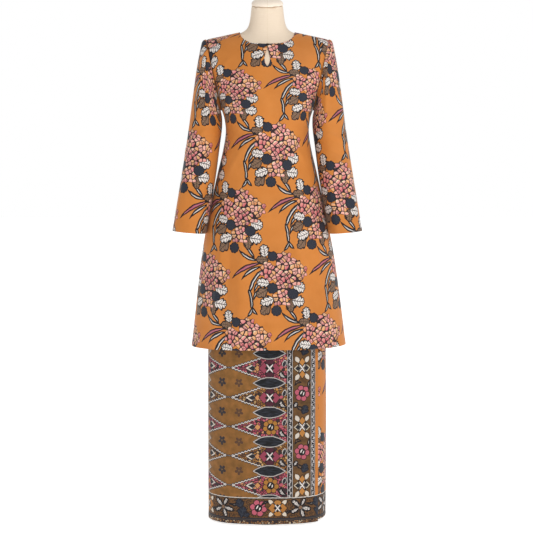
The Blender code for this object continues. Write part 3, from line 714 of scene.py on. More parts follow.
sewing = {
    "wall": 0.0011,            # thickness of the cloth with its turnings
    "sideSeam": 0.0003,        # gap between front and back at the side seams
    "armholeSeam": 0.0007,     # gap between a panel and the sleeve set into it
    "hemTurn": 0.020, "hemRise": 0.0004, "hemSoftness": 0.006,
    "seamDip": 0.0013, "seamWidth": 0.006, "headSeamWidth": 0.009,
}
tunic = {
    "hem": 0.515, "underarm": 1.200, "rounding": 2.3,
    "neckPoint": (0.0800, 1.4240), "shoulderTip": 0.178, "shoulderSlope": 0.2165,
    "neckRounding": 3.5, "neckDrop": {-1: 0.0355, 1: 0.016}, "swell": {-1: 2.0, 1: 2.5},
    "armhole": {-1: 0.053, 1: 0.056}, "hemSwing": 0.004, "hemTilt": 0.010, "fluteTop": 0.98,
    # height, half width, front, back
    "sections": [
        (0.515, 0.2265, 0.140, 0.138), (0.740, 0.1990, 0.132, 0.131), (0.833, 0.1840, 0.128, 0.127),
        (0.930, 0.1640, 0.124, 0.118), (1.020, 0.1440, 0.121, 0.104), (1.080, 0.1295, 0.1205, 0.096),
        (1.135, 0.1208, 0.1220, 0.094), (1.175, 0.1245, 0.1240, 0.096), (1.200, 0.1325, 0.1240, 0.097),
    ],
    # across, width, depth of the flutes at the hem
    "flutes": {
        -1: [(-0.46, 0.10, 0.005), (-0.16, 0.13, 0.006), (0.22, 0.12, 0.005), (0.55, 0.09, 0.004)],
        1: [(-0.50, 0.12, 0.006), (-0.10, 0.15, 0.007), (0.38, 0.12, 0.006)],
    },
    "span": 0.45,              # width of a panel, to tell how near a side seam is
    "columns": 132, "lowerRows": 104, "upperRows": 66,
}
tunicSplit = tunic["lowerRows"] / (tunic["lowerRows"] + tunic["upperRows"])


def shoulderLine(x):
    return tunic["neckPoint"][1] - (abs(x) - tunic["neckPoint"][0]) * tunic["shoulderSlope"]


def neckEdge(share, facing):
    # a point of the neckline in the front view, from the centre (0) to the shoulder (1)
    x, reach = roundedSection((1 - share) * math.pi / 2, tunic["neckPoint"][0], 1.0, tunic["neckRounding"])
    return x, tunic["neckPoint"][1] - tunic["neckDrop"][facing] * reach ** 2


def lowerPoint(facing, across, height):
    _, halfWidth, front, back = smoothRow(tunic["sections"], height)
    x, y = roundedSection((1 - across) * math.pi / 2, halfWidth, 1.0, tunic["rounding"])
    return Vector((x, y * facing * (front if facing < 0 else back), height))


def upperPoint(facing, across, up):
    # above the underarm the columns run up to the neckline or to the shoulder seam
    underarm = tunic["underarm"]
    base = lowerPoint(facing, across, underarm)
    _, halfWidth, front, back = tunic["sections"][-1]
    if abs(across) <= 0.5:
        topX, topZ = neckEdge(abs(across) * 2, facing)
    else:
        topX = mix(tunic["neckPoint"][0], tunic["shoulderTip"], abs(across) * 2 - 1)
        topZ = shoulderLine(topX)
    t = (1 - math.cos(math.pi * up)) / 2
    x = mix(abs(base.x), topX, t)
    z = mix(underarm, topZ, t)
    rise = min((z - underarm) / (shoulderLine(x) - underarm), 1.0)
    swell = tunic["swell"][facing]
    middle = (front if facing < 0 else back) * (1 - rise ** swell) ** (1 / swell)
    edge = tunic["armhole"][facing] * 2 * math.sqrt(max(rise * (1 - rise), 0.0))
    armholeRise = (z - underarm) / (shoulderLine(tunic["shoulderTip"]) - underarm)
    edgeX = mix(halfWidth, tunic["shoulderTip"], min(armholeRise, 1.0))
    rounding = tunic["rounding"]
    fall = 1 - (min(edge / middle, 1.0) ** rounding if middle > 0 else 0.0)
    y = middle * max(1 - fall * min(x / edgeX, 1.0) ** rounding, 0.0) ** (1 / rounding)
    return Vector((math.copysign(x, across), y * facing, z))


def tunicPoint(facing, across, up):
    if up <= tunicSplit:
        point = lowerPoint(facing, across, mix(tunic["sections"][0][0], tunic["underarm"], up / tunicSplit))
    else:
        point = upperPoint(facing, across, (up - tunicSplit) / (1 - tunicSplit))
    fade = smoothstep((tunic["fluteTop"] - point.z) / (tunic["fluteTop"] - tunic["hem"]))
    wave = sum(depth * math.exp(-((across - middle) / width) ** 2)
               for middle, width, depth in tunic["flutes"][facing])
    point.y += facing * wave * fade
    point.x += tunic["hemSwing"] * fade
    point.z += tunic["hemTilt"] * point.x * fade
    point.y += facing * sewing["sideSeam"] / 2
    return point


def layOutTunic(points):
    # flat coordinates: across from the centre line, and up from the hem
    middle, lower = len(points[0]) // 2, tunic["lowerRows"]
    centre = runLengths([row[middle] for row in points])
    columns = [runLengths([row[column] for row in points[lower:]]) for column in range(len(points[0]))]
    flat = []
    for index, row in enumerate(points):
        across = runLengths([Vector((p.x, p.y, 0)) for p in row])
        ups = [centre[index] if index <= lower else centre[lower] + column[index - lower]
               for column in columns]
        flat.append([(along - across[middle], up) for along, up in zip(across, ups)])
    return flat


def turnedHem(v, turn=sewing["hemTurn"]):
    # the cloth is a little thicker below the hem's stitches
    return sewing["hemRise"] * smoothstep((turn - v) / sewing["hemSoftness"])


def sunkSeam(distance, width):
    # how far the cloth sinks beside a seam
    return sewing["seamDip"] * math.exp(-(distance / width) ** 2)


def seamsIn(share, up, u, v):
    return turnedHem(v) - sunkSeam(min(share, 1 - share) * tunic["span"], sewing["seamWidth"])


def makeTunicPanel(name, facing, folds, finishes):
    def place(share, up):
        return tunicPoint(facing, (share * 2 - 1) * -facing, up)

    rows = tunic["lowerRows"] + tunic["upperRows"]
    bm = makePanel(tunic["columns"], rows, place, layOutTunic, folds, seamsIn)
    piece = giveWall(finishPiece(name, bm, finishes))
    return piece


# the sleeves' form

sleeve = {
    "capRows": 1.35, "blend": 1.6,
    # along, outer x, outer z, inner x, inner z, half depth, middle y
    "rings": [
        (0, 0.1780, 1.4035, 0.1335, 1.2000, 0.054, 0.000),
        (1, 0.1865, 1.4010, 0.1352, 1.1990, 0.056, 0.000),
        (2, 0.1920, 1.3840, 0.1345, 1.1945, 0.059, -0.001),
        (4, 0.2050, 1.3150, 0.1312, 1.1760, 0.062, -0.004),
        (6, 0.2175, 1.2250, 0.1316, 1.1440, 0.060, -0.011),
        (8, 0.2300, 1.1300, 0.1385, 1.0900, 0.057, -0.019),
        (10.5, 0.2500, 1.0020, 0.1515, 0.9920, 0.052, -0.032),
        (13, 0.2750, 0.8520, 0.1780, 0.8437, 0.0475, -0.046),
    ],
    "columns": 96, "rows": 150,
    # height of the gathers at the head, shares of the sleeve where they start and stop, each with its fade
    "gathers": 0.0006, "gathersStart": (0.86, 0.12), "gathersStop": (0.985, 0.015),
}


def sleevePoint(side, around, along):
    # around starts at the shoulder and goes over the front to the underarm
    position = sleeve["rings"][-1][0] * along ** sleeve["capRows"]
    _, outerX, outerZ, innerX, innerZ, halfDepth, middleY = smoothRow(sleeve["rings"], position)
    turn = around * 2 * math.pi
    middle = Vector(((outerX + innerX) / 2, middleY, (outerZ + innerZ) / 2))
    reach = Vector(((outerX - innerX) / 2, 0, (outerZ - innerZ) / 2))
    point = middle + reach * math.cos(turn) - Vector((0, halfDepth * math.sin(turn), 0))
    facing = -1 if around <= 0.5 else 1
    up = 1 - 2 * around if around <= 0.5 else 2 * around - 1
    armhole = tunicPoint(facing, side, mix(tunicSplit, 1.0, up))
    armhole.x *= side
    if around in (0.0, 0.5, 1.0):
        armhole.y = 0.0
    seamPlane = Vector((shoulderLine(tunic["shoulderTip"]) - tunic["underarm"], 0,
                        tunic["sections"][-1][1] - tunic["shoulderTip"])).normalized()
    armhole += seamPlane * sewing["armholeSeam"]
    point = armhole.lerp(point, smoothstep(position / sleeve["blend"]))
    return Vector((point.x * side, point.y, point.z))


def layOutSleeve(points):
    # flat coordinates: across from the top line, and up from the cuff
    columns = [runLengths([row[column] for row in points]) for column in range(len(points[0]))]
    flat = []
    for index, row in enumerate(points):
        across = runLengths(row)
        flat.append([(across[column] - across[-1] / 2, columns[column][index]) for column in range(len(row))])
    return flat


def makeSleeve(name, side, folds, finishes):
    def place(share, along):
        around = (share + 0.5) % 1.0 if side < 0 else (0.5 - share) % 1.0
        return sleevePoint(side, around, 1 - along)

    def swell(share, along, u, v):
        # eased into the armhole: small uneven gathers that die out below the seam; a turned hem at the cuff
        grown, gone = (smoothstep((along - place) / fade)
                       for place, fade in (sleeve["gathersStart"], sleeve["gathersStop"]))
        gathers = math.sin(u * 330 + 1.7 * math.sin(u * 71)) * sleeve["gathers"] * grown * (1 - gone)
        return gathers - sunkSeam(1 - along, sewing["headSeamWidth"]) + turnedHem(v)

    bm = makePanel(sleeve["columns"], sleeve["rows"], place, layOutSleeve, folds, swell, wraps=True)
    piece = giveWall(finishPiece(name, bm, finishes))
    return piece


# the skirt's form

skirt = {
    "hem": 0.006, "underRise": 0.005, "top": 0.9975, "lapEnd": 37.5, "underEnd": 97.5, "lapLayer": 0.0017,
    # height, half width, front, back, rounding
    "sections": [
        (0.006, 0.1720, 0.1280, 0.1240, 2.8), (0.450, 0.1722, 0.1265, 0.1220, 2.7),
        (0.700, 0.1705, 0.1215, 0.1185, 2.5), (0.840, 0.1640, 0.1140, 0.1165, 2.4),
        (0.920, 0.1500, 0.1070, 0.1085, 2.35), (0.9975, 0.1178, 0.0922, 0.0867, 2.3),
    ],
    "columnDegrees": 1.25, "rows": 156, "border": 0.078, "borderRows": 16, "hemTurn": 0.014,
}


def skirtPoint(degrees, height, layer):
    # degrees run forward from the right side, layer is the distance outwards
    _, halfWidth, front, back, rounding = smoothRow(skirt["sections"], height)
    angle = math.radians(-degrees)
    depth = front if math.sin(angle) < 0 else back
    x, y = roundedSection(angle, halfWidth + layer, depth + layer, rounding)
    return Vector((x, y, height))


def wrapHem(share, up, u, v):
    return turnedHem(v, skirt["hemTurn"])


def makeSkirtLayer(name, first, last, hem, layer, folds, finishes):
    columns = round((first - last) / skirt["columnDegrees"])
    front = round((first - 90) / skirt["columnDegrees"])

    def place(share, up):
        # one row of the grid lies on the border's upper line, where the finish changes
        border = skirt["hem"] + skirt["border"]
        split = skirt["borderRows"] / skirt["rows"]
        if up <= split:
            height = mix(hem, border, up / split)
        else:
            height = mix(border, skirt["top"], (up - split) / (1 - split))
        return skirtPoint(mix(first, last, share), height, layer)

    def layOut(points):
        # flat coordinates: across from the front's middle, and up from the outer hem
        flat = []
        for row in points:
            across = runLengths(row)
            flat.append([(length - across[front], row[0].z - skirt["hem"]) for length in across])
        return flat

    bm = makePanel(columns, skirt["rows"], place, layOut, folds, wrapHem)
    for face in bm.faces:
        if face.calc_center_median().z < skirt["hem"] + skirt["border"]:
            face.material_index = 1
    piece = giveWall(finishPiece(name, bm, finishes), 2)
    return piece


# neck: keyhole and rolled edges

neck = {
    "keyholeTop": 1.383, "keyholeTip": 1.3225, "keyholeWidth": 0.017, "slitWidth": 0.0010, "keyholeSteps": 40,
    # the rolls end at a share just short of the shoulder, and leave a gap between them at the slit
    "rollRadius": 0.0011, "rollColumns": 8, "rollEnd": 0.495, "rollGap": 0.0022,
}


def keyholeHalfWidth(share):
    # half the opening's width, from its upper end (0) to its pointed lower end (1)
    leaf = neck["keyholeWidth"] / 2 * math.sin(math.pi * share ** 1.6) ** 0.9 if 0 < share < 1 else 0.0
    return max(leaf, neck["slitWidth"] / 2 if share < 0.5 else 0.0)


def keyholeOutline():
    # x and z down the right side of the slit and the leaf, round the tip and up the left side
    right = [(neck["slitWidth"] / 2, tunic["neckPoint"][1])]
    for step in range(neck["keyholeSteps"]):
        share = step / neck["keyholeSteps"]
        right.append((keyholeHalfWidth(share), mix(neck["keyholeTop"], neck["keyholeTip"], share)))
    return right + [(0.0, neck["keyholeTip"])] + [(-x, z) for x, z in reversed(right)]


def frontSurfaceAt(x, z):
    # the front panel's point that shows at x, z near the neck: halves the height, and lets x follow
    low, high = tunicSplit, 1.0
    across = x / 0.16
    for _ in range(30):
        up = (low + high) / 2
        point = tunicPoint(-1, across, up)
        across += (x - point.x) / 0.2
        if point.z < z:
            low = up
        else:
            high = up
    return tunicPoint(-1, across, (low + high) / 2)


def cutKeyhole(panel):
    # the cutter runs from 50 to 150 mm in front of the middle, through the panel's upper part
    bm = bmesh.new()
    face = bm.faces.new([bm.verts.new((x, -0.150, z)) for x, z in keyholeOutline()])
    pulled = bmesh.ops.extrude_face_region(bm, geom=[face])
    moved = [item for item in pulled["geom"] if isinstance(item, bmesh.types.BMVert)]
    bmesh.ops.translate(bm, verts=moved, vec=(0, 0.100, 0))
    bmesh.ops.recalc_face_normals(bm, faces=bm.faces)
    cutter = newObject("keyholeCutter", bm)
    cut = panel.modifiers.new("Keyhole", 'BOOLEAN')
    cut.operation = 'DIFFERENCE'
    cut.object = cutter
    settle(panel)
    bpy.data.objects.remove(cutter)


def makeRoll(name, path, radius, finish):
    # a round edge along a path, closed at both ends; it carries the flat coordinates of the cloth beside it
    columns, rows = neck["rollColumns"], len(path) - 1
    bm, spots = newGrid(columns, rows)
    normal = Vector((0, 1, 0))
    frames = []
    for row, point in enumerate(path):
        ahead = (path[min(row + 1, rows)] - path[max(row - 1, 0)]).normalized()
        normal = (normal - ahead * normal.dot(ahead)).normalized()
        frames.append((point, normal.copy(), ahead.cross(normal)))
    for vert, (column, row) in spots.items():
        point, first, second = frames[row]
        turn = 2 * math.pi * column / columns
        size = radius * (0.35 if row in (0, rows) else 1.0)
        vert.co = point + (first * math.cos(turn) + second * math.sin(turn)) * size
    uvLayer = bm.loops.layers.uv.new("Cut")
    for face in bm.faces:
        for loop in face.loops:
            loop[uvLayer].uv = (loop.vert.co.x, loop.vert.co.z - tunic["hem"] + 0.02)
    bmesh.ops.remove_doubles(bm, verts=bm.verts, dist=0.00002)
    bmesh.ops.holes_fill(bm, edges=bm.edges, sides=columns)
    bmesh.ops.recalc_face_normals(bm, faces=bm.faces)
    piece = finishPiece(name, bm, (finish,))
    return piece


def neckPath(facing, start, end, steps):
    # points along the neckline, in the middle of the cloth's thickness
    points = []
    for step in range(steps + 1):
        across = mix(start, end, step / steps)
        edge, below = tunicPoint(facing, across, 1.0), tunicPoint(facing, across, 0.99)
        side = tunicPoint(facing, across + (0.01 if across < 0 else -0.01), 1.0)
        out = (side - edge).cross(below - edge).normalized()
        if out.y * facing < 0:
            out = -out
        points.append(edge - out * sewing["wall"] / 2)
    return points


# stage: floor, light and camera

stage = {
    "camera": (-0.0023, -5.0, 1.2), "tilt": 5.22, "lens": 1713 / 533,    # focal length in frame widths
    "floor": 14.0, "glow": 0.8, "fill": 0.51,
    "key": (2.3, -3.0, 4.0), "keyAim": (0, 0, 0.9), "keySize": 1.4, "keyPower": 76,
}


def makeStage():
    scene = bpy.context.scene
    bm = bmesh.new()
    bmesh.ops.create_grid(bm, x_segments=1, y_segments=1, size=stage["floor"])
    paper, _, _ = newFinish("matt white backdrop paper", Base_Color=hexColour("#F7F7F7"), Roughness=0.9,
                            Emission_Color=hexColour("#FFFFFF"), Emission_Strength=stage["glow"])
    floor = newObject("floor", bm, (paper,))

    world = bpy.data.worlds.new("white studio")
    world.use_nodes = True
    scene.world = world
    tree = world.node_tree
    tree.nodes.clear()
    fill = add(tree, "Background", hexColour("#FFFFFF"), stage["fill"])
    seen = add(tree, "Background", hexColour("#FFFFFF"), 1.0)
    path = add(tree, "LightPath")
    both = add(tree, "MixShader", path.outputs["Is Camera Ray"], fill, seen)
    add(tree, "OutputWorld", both)

    key = bpy.data.lights.new("key", 'AREA')
    key.size = stage["keySize"]
    key.energy = stage["keyPower"]
    keyObject = bpy.data.objects.new("key", key)
    keyObject.location = stage["key"]
    aim = Vector(stage["keyAim"]) - Vector(stage["key"])
    keyObject.rotation_euler = aim.to_track_quat('-Z', 'Y').to_euler()
    scene.collection.objects.link(keyObject)

    camera = bpy.data.cameras.new("camera")
    camera.sensor_width = 36
    camera.lens = 36 * stage["lens"]
    cameraObject = bpy.data.objects.new("camera", camera)
    cameraObject.location = stage["camera"]
    cameraObject.rotation_euler = (math.radians(90 - stage["tilt"]), 0, 0)
    scene.collection.objects.link(cameraObject)
    scene.camera = cameraObject
    scene.view_settings.view_transform = 'Standard'


def smoothCopy(name, node, finish, levels):
    # a frame node's own form with its facets rounded off
    bm = bmesh.new()
    bm.from_mesh(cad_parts[node].data)
    bmesh.ops.remove_doubles(bm, verts=bm.verts, dist=0.00005)
    bmesh.ops.join_triangles(bm, faces=bm.faces, angle_face_threshold=math.radians(30),
                             angle_shape_threshold=math.radians(60))
    for face in bm.faces:
        face.material_index = 0
    piece = finishPiece(name, bm, (finish,))
    rounding = piece.modifiers.new("Rounding", 'SUBSURF')
    rounding.levels = rounding.render_levels = levels
    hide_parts(node)
    return piece


# finishes: printed cloth, its plain reverse, linen, steel and brass

def newFinish(name, **values):
    finish = bpy.data.materials.new(name)
    finish.use_nodes = True
    shader = finish.node_tree.nodes["Principled BSDF"]
    for socket, value in values.items():
        shader.inputs[socket.replace("_", " ")].default_value = value
    return finish, finish.node_tree, shader


def weaveHeight(tree, spot, pitch):
    # two crossed sets of threads; the spot is in millimetres
    warp, weft = [add(tree, "Math SINE", add(tree, "Math MULTIPLY", way, 2 * math.pi / pitch))
                  for way in splitFlat(tree, spot)]
    slubs = add(tree, "TexNoise", spot, 0.35, 3.0, noise_dimensions='2D')
    threads = add(tree, "Math MULTIPLY", warp, weft)
    return add(tree, "Math MULTIPLY_ADD", slubs, 2.0, threads)


def giveSurface(tree, shader, colour, relief, strength):
    # links a finish's colour and its relief, of which a height of 1 is a tenth of a millimetre
    tree.links.new(shown(colour), shader.inputs["Base Color"])
    bump = add(tree, "Bump", strength, 0.0001)
    tree.links.new(shown(relief), bump.inputs["Height"])
    tree.links.new(shown(bump), shader.inputs["Normal"])


def makeCloth(name, pattern, offset, turn, fibre, eased=None):
    # the pattern gives the colour; sheen and a fine weave give the soft bloom of cloth
    finish, tree, shader = newFinish(name, Roughness=fibre["roughness"], Sheen_Weight=fibre["sheen"],
                                     Sheen_Roughness=0.45, Specular_IOR_Level=fibre["specular"])
    cut = add(tree, "UVMap", uv_map="Cut")
    spot = add(tree, "Mapping", cut, (offset[0], offset[1], 0), (0, 0, math.radians(turn)), (1000, 1000, 1))
    if eased:
        # cloth eased in between two heights sets the pattern above them lower
        height = add(tree, "SeparateXYZ", cut).outputs[1]
        taken = add(tree, "MapRange", height, eased["from"], eased["to"], 0.0, eased["taken"])
        spot = add(tree, "VectorMath ADD", spot, add(tree, "CombineXYZ", 0.0, taken))
    group = add(tree, "Group", spot, node_tree=pattern)
    faded = add(tree, "TexNoise", spot, 0.008, 3.0, noise_dimensions='2D')
    wash = add(tree, "MapRange", faded, 0.3, 0.7, fibre["depth"] - 0.05, fibre["depth"] + 0.05)
    washed = add(tree, "VectorMath SCALE", group, wash)
    giveSurface(tree, shader, washed, weaveHeight(tree, spot, fibre["pitch"]), fibre["bump"])
    return finish


def makeReverse(name, colours):
    # the unprinted side: the print shows through only as faint clouds
    finish, tree, shader = newFinish(name, Roughness=0.8, Sheen_Weight=0.1, Specular_IOR_Level=0.25)
    cut = add(tree, "Mapping", add(tree, "UVMap", uv_map="Cut"), (0, 0, 0), (0, 0, 0), (1000, 1000, 1))
    clouds = add(tree, "TexNoise", cut, 0.03, 2.0, noise_dimensions='2D')
    giveSurface(tree, shader, paint(tree, *colours, clouds), weaveHeight(tree, cut, 0.8), 0.3)
    return finish


def makeLinen(name, colours):
    # unbleached linen on the dress form: uneven threads, drawn about twice as coarse as real ones so that
    # they show, and a stitched seam down the centre front and back
    finish, tree, shader = newFinish(name, Roughness=0.85, Sheen_Weight=0.15, Specular_IOR_Level=0.2)
    place = add(tree, "TexCoord").outputs["Object"]
    spot = add(tree, "Mapping", place, (0, 0, 0), (0, 0, 0), (1000, 1000, 1000))
    parts = add(tree, "SeparateXYZ", spot)
    flat = add(tree, "CombineXYZ", add(tree, "Math ADD", parts.outputs[0], parts.outputs[1]),
               parts.outputs[2])
    threads = weaveHeight(tree, flat, 1.1)
    slubs = add(tree, "TexNoise", add(tree, "Mapping", flat, (0, 0, 0), (0, 0, 0), (0.04, 0.9, 1)), 1.0, 3.0)
    colour = paint(tree, *colours, slubs)
    seam = add(tree, "Math ABSOLUTE", parts.outputs[0])
    groove = add(tree, "Math LESS_THAN", seam, linen["seam"])
    colour = paint(tree, colour, linen["seamColour"], groove)
    dip = add(tree, "MapRange", seam, 0.0, 1.4, -1.6, 0.0)
    giveSurface(tree, shader, colour, add(tree, "Math ADD", threads, dip), 0.5)
    return finish


def makeMetal(name, colours, metallic, roughness, specksPerMetre):
    # fine specks break the shine
    finish, tree, shader = newFinish(name, Metallic=metallic)
    spot = add(tree, "Mapping", add(tree, "TexCoord").outputs["Object"], (0, 0, 0), (0, 0, 0),
               (specksPerMetre, specksPerMetre, specksPerMetre))
    specks = add(tree, "TexNoise", spot, 1.0, 4.0)
    tree.links.new(shown(paint(tree, *colours, specks)), shader.inputs["Base Color"])
    rough = add(tree, "MapRange", specks, 0.3, 0.7, roughness - 0.08, roughness + 0.08)
    tree.links.new(rough.outputs[0], shader.inputs["Roughness"])
    return finish


# printed viscose is matt with a faint bloom, and the cotton of the wrap is drier; the threads' pitch is in
# millimetres, about twice the real one, which is too fine to show
viscose = {"roughness": 0.62, "sheen": 0.12, "specular": 0.35, "pitch": 0.7, "bump": 0.25, "depth": 0.97}
cotton = {"roughness": 0.70, "sheen": 0.10, "specular": 0.30, "pitch": 0.8, "bump": 0.30, "depth": 0.88}
bust = {"from": 0.665, "to": 0.825, "taken": 29.0}    # metres up the front, and millimetres of cloth eased in
# two shades for the neck and for the cap; half the width of the centre seam in millimetres
linen = {"neck": ("#F2E1CC", "#E5D0B6"), "cap": ("#FDEFDE", "#F3E2CE"), "seam": 0.35, "seamColour": "#E2CEB0"}

bouquetPrint = makeBouquetPrint()
wrapPrint = makeWrapPrint(bouquetPrint)
borderPrint = makeBorderPrint()
tunicReverse = makeReverse("viscose reverse", ("#C08750", "#B57B44"))
wrapReverse = makeReverse("cotton reverse", ("#8E6A45", "#A27A4C"))
print("prints ready")

# creases in flat metres: across and up where one starts, across and up where it ends, its width, and how far
# it stands out (below zero: a trough); some have two more: the share of its width gained on the way, its bow
tunicFolds = {
    "front": [
        (-0.168, 0.0, -0.128, 0.34, 0.013, 0.0045, -0.4, 0.004),
        (-0.138, 0.0, -0.108, 0.3, 0.012, -0.0035, -0.3, 0.0),
        (-0.092, 0.0, -0.074, 0.38, 0.018, 0.0045, -0.4, -0.004),
        (-0.05, 0.0, -0.05, 0.26, 0.015, -0.0028, -0.3, 0.0),
        (0.012, 0.0, 0.006, 0.24, 0.02, 0.0028, -0.3, 0.0),
        (0.06, 0.0, 0.046, 0.3, 0.014, -0.0026, -0.3, 0.0),
        (0.104, 0.0, 0.082, 0.42, 0.016, 0.0045, -0.45, 0.004),
        (0.14, 0.0, 0.112, 0.3, 0.012, -0.0032, -0.3, 0.0),
        (0.178, 0.0, 0.14, 0.33, 0.013, 0.004, -0.4, 0.0),
        (-0.122, 0.5, -0.05, 0.6, 0.01, 0.0016, 0.0, 0.004),
        (0.12, 0.53, 0.056, 0.62, 0.009, 0.0015, 0.0, -0.003), (-0.116, 0.58, -0.06, 0.64, 0.008, -0.0012),
        (-0.128, 0.7, -0.066, 0.775, 0.009, 0.0022, 0.0, 0.005),
        (-0.134, 0.735, -0.088, 0.8, 0.006, -0.0012), (0.13, 0.71, 0.07, 0.77, 0.009, 0.002, 0.0, -0.005),
        (0.15, 0.78, 0.1, 0.83, 0.008, 0.0014), (-0.148, 0.8, -0.108, 0.84, 0.007, 0.0013),
        (0.0, 0.4, 0.006, 0.62, 0.022, 0.0012), (-0.008, 0.0, -0.012, 0.16, 0.01, -0.004, -0.3, 0.003),
        (-0.066, 0.096, 0.028, 0.076, 0.012, -0.0034, 0.0, -0.006),
        (-0.15, 0.385, -0.1, 0.3, 0.014, -0.003, 0.0, 0.004),
    ],
    "back": [
        (-0.16, 0.0, -0.12, 0.36, 0.014, 0.0045, -0.4, 0.0),
        (-0.118, 0.0, -0.096, 0.3, 0.013, -0.0032, -0.3, 0.0),
        (-0.07, 0.0, -0.052, 0.4, 0.019, 0.005, -0.4, 0.004),
        (-0.02, 0.0, -0.016, 0.3, 0.015, -0.003, -0.3, 0.0),
        (0.034, 0.0, 0.024, 0.36, 0.018, 0.0042, -0.4, -0.003),
        (0.086, 0.0, 0.07, 0.3, 0.013, -0.003, -0.3, 0.0),
        (0.13, 0.0, 0.104, 0.38, 0.015, 0.0046, -0.4, 0.0),
        (0.172, 0.0, 0.134, 0.3, 0.012, -0.003, -0.3, 0.0),
        (-0.118, 0.44, 0.0, 0.5, 0.01, 0.002, 0.0, -0.006),
        (0.12, 0.46, 0.01, 0.53, 0.01, 0.0018, 0.0, 0.006), (-0.128, 0.7, -0.06, 0.78, 0.01, 0.002),
        (0.128, 0.71, 0.07, 0.79, 0.01, 0.002), (-0.09, 0.84, 0.08, 0.85, 0.012, 0.001, 0.0, 0.006),
    ],
}
# the front of the left sleeve has positive across values; the right sleeve's are turned round
sleeveFolds = {
    "left": [
        (0.03, 0.02, 0.046, 0.24, 0.012, 0.003, 0.0, 0.004), (0.062, 0.0, 0.07, 0.22, 0.01, -0.0022),
        (0.096, 0.0, 0.098, 0.2, 0.011, 0.0026, 0.0, -0.003),
        (0.012, 0.235, 0.1, 0.3, 0.008, 0.003, 0.0, 0.005), (0.04, 0.205, 0.12, 0.245, 0.007, -0.0024),
        (0.02, 0.3, 0.11, 0.35, 0.008, 0.0026, 0.0, 0.004), (0.05, 0.27, 0.13, 0.285, 0.006, 0.0022),
        (0.06, 0.52, 0.05, 0.4, 0.01, 0.0026, 0.0, 0.003), (0.086, 0.48, 0.076, 0.37, 0.009, -0.0018),
        (0.112, 0.44, 0.094, 0.33, 0.009, 0.0024), (-0.06, 0.02, -0.07, 0.25, 0.012, 0.003),
        (-0.1, 0.02, -0.1, 0.22, 0.01, -0.0022), (-0.03, 0.27, -0.12, 0.33, 0.009, 0.0026),
        (-0.05, 0.5, -0.06, 0.36, 0.011, 0.0026), (-0.09, 0.46, -0.09, 0.34, 0.009, -0.0018),
    ],
    "right": [
        (-0.036, 0.0, -0.05, 0.26, 0.012, 0.003, 0.0, -0.004), (-0.07, 0.0, -0.074, 0.2, 0.01, -0.0022),
        (-0.102, 0.0, -0.1, 0.22, 0.011, 0.0028), (-0.02, 0.25, -0.104, 0.29, 0.008, 0.0028, 0.0, -0.004),
        (-0.046, 0.215, -0.124, 0.262, 0.007, -0.0022), (-0.03, 0.32, -0.116, 0.348, 0.008, 0.0024),
        (-0.066, 0.51, -0.056, 0.39, 0.01, 0.0026), (-0.092, 0.47, -0.08, 0.36, 0.009, -0.0018),
        (-0.116, 0.43, -0.1, 0.32, 0.009, 0.0022), (0.056, 0.0, 0.066, 0.24, 0.012, 0.003),
        (0.096, 0.02, 0.1, 0.24, 0.01, -0.0022), (0.034, 0.255, 0.124, 0.32, 0.009, 0.0026),
        (0.052, 0.5, 0.062, 0.35, 0.011, 0.0026),
    ],
}
skirtFolds = {
    "lap": [
        (-0.2, 0.0, -0.19, 0.5, 0.03, 0.0022), (-0.12, 0.0, -0.112, 0.44, 0.026, 0.0018),
        (-0.06, 0.0, -0.058, 0.4, 0.022, 0.0012), (0.06, 0.0, 0.054, 0.42, 0.026, 0.0016),
        (0.147, 0.0, 0.146, 0.9, 0.01, 0.0024), (-0.33, 0.0, -0.32, 0.5, 0.03, 0.0026),
        (-0.26, 0.0, -0.262, 0.4, 0.02, -0.0012),
    ],
    "back": [
        (0.33, 0.0, 0.32, 0.5, 0.03, 0.0026), (0.43, 0.0, 0.42, 0.45, 0.026, 0.0024),
        (0.38, 0.0, 0.378, 0.4, 0.02, -0.0012), (0.52, 0.0, 0.5, 0.5, 0.03, 0.0024),
        (0.24, 0.0, 0.236, 0.4, 0.024, 0.0014),
    ],
}

# how the bouquets lie on each piece: shifted in millimetres, turned in degrees
printLies = {
    "front": ((-42.8, -576.8), -2.0), "back": ((-30.0, -640.0), 1.0),
    "left": ((-189.1, -400.2), -9.4), "right": ((88.1, -498.1), 4.0),
}

frontFinish = makeCloth("printed viscose front", bouquetPrint, *printLies["front"], viscose, bust)
tunicFront = makeTunicPanel("tunicFront", -1, tunicFolds["front"], (frontFinish, tunicReverse))
cutKeyhole(tunicFront)
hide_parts("tunic_front")
backFinish = makeCloth("printed viscose back", bouquetPrint, *printLies["back"], viscose)
tunicBack = makeTunicPanel("tunicBack", 1, tunicFolds["back"], (backFinish, tunicReverse))
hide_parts("tunic_back")
sleeves = {}
for name, side in (("left", -1), ("right", 1)):
    finish = makeCloth("printed viscose " + name + " sleeve", bouquetPrint, *printLies[name], viscose)
    sleeves[name] = makeSleeve(name + "Sleeve", side, sleeveFolds[name], (finish, tunicReverse))
    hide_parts("sleeve_" + name)
print("tunic ready")

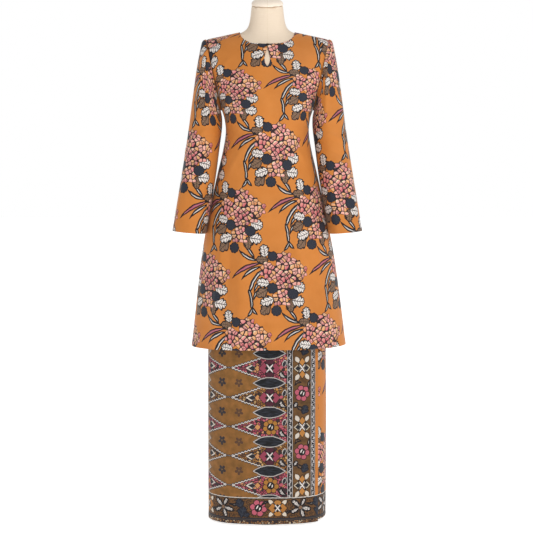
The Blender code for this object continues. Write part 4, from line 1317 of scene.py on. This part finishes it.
# the wrap goes on round the left side, so on the back its prints are shifted by once round the skirt
wrapFinishes = {}
for side, shift in (("", 0.0), (" back", 1001.0)):
    upper = makeCloth("printed cotton wrap" + side, wrapPrint, (4.0 - shift, 0.0), 0.0, cotton)
    border = makeCloth("printed cotton hem border" + side, borderPrint, (-shift, 0.0), 0.0, cotton)
    wrapFinishes[side] = (upper, border, wrapReverse, wrapReverse)
skirtLap = makeSkirtLayer("skirtLap", 180, skirt["lapEnd"], skirt["hem"], skirt["lapLayer"],
                          skirtFolds["lap"], wrapFinishes[""])
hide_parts("skirt_lap")
skirtBack = makeSkirtLayer("skirtBack", skirt["underEnd"], -180, skirt["hem"] + skirt["underRise"], 0.0,
                           skirtFolds["back"], wrapFinishes[" back"])
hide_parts("skirt_back")
print("skirt ready")

rollFinish = makeCloth("printed viscose roll", bouquetPrint, *printLies["front"], viscose, bust)
slit, end = 0.5 * neck["rollGap"] / tunic["neckPoint"][0], neck["rollEnd"]
rolls = [makeRoll(name, neckPath(facing, first, last, steps), neck["rollRadius"], rollFinish)
         for name, facing, first, last, steps in (("neckRollLeft", -1, -end, -slit, 60),
                                                  ("neckRollRight", -1, slit, end, 60),
                                                  ("neckRollBack", 1, -end, end, 120))]
leafPath = []
for x, z in keyholeOutline():
    if z < neck["keyholeTop"] - 0.002:
        spot = frontSurfaceAt(x, z)
        leafPath.append(Vector((x, spot.y + sewing["wall"] / 2, z)))
rolls.append(makeRoll("keyholeRoll", leafPath, neck["rollRadius"] * 0.9, rollFinish))

smoothCopy("formBody", "form_body", makeLinen("unbleached linen", linen["neck"]), 2)
smoothCopy("formCap", "form_cap", makeLinen("paler linen on the cap", linen["cap"]), 2)
waistband = smoothCopy("skirtWaistband", "skirt_waistband", wrapReverse, 1)
# baked powder coat on the stand is an even grey with a faint orange peel; blackened brass is dark and
# barely shines
for node, name, colours, metallic, roughness, specksPerMetre in (
        ("form_pole", "powder coated steel tube", ("#A4A3A0", "#9C9A97"), 0.0, 0.50, 900),
        ("form_base", "powder coated steel plate", ("#A4A3A0", "#9C9A97"), 0.0, 0.55, 900),
        ("neck_hook", "blackened brass", ("#2E2A28", "#3A342F"), 0.8, 0.42, 2000)):
    coat = makeMetal(name, colours, metallic, roughness, specksPerMetre)
    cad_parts[node].data.materials[0] = coat
print("form, edges and hook ready")

for piece, flat, area, rests, trims in (
        (tunicFront, (0.610, 0.960), 0.418, ["formBody"], rolls[:2] + rolls[3:]),
        (tunicBack, (0.610, 0.960), 0.407, ["formBody"], [rolls[2]]),
        (sleeves["left"], (0.360, 0.600), 0.147, ["tunicFront", "tunicBack"], []),
        (sleeves["right"], (0.360, 0.600), 0.147, ["tunicFront", "tunicBack"], []),
        (skirtLap, (0.420, 1.000), 0.388, ["skirtWaistband"], []),
        (skirtBack, (0.790, 0.990), 0.736, ["skirtWaistband"], []),
        (waistband, (0.680, 0.030), 0.020, ["formBody"], [])):
    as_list(rests)
    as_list(trims)

makeStage()
bpy.context.view_layer.update()
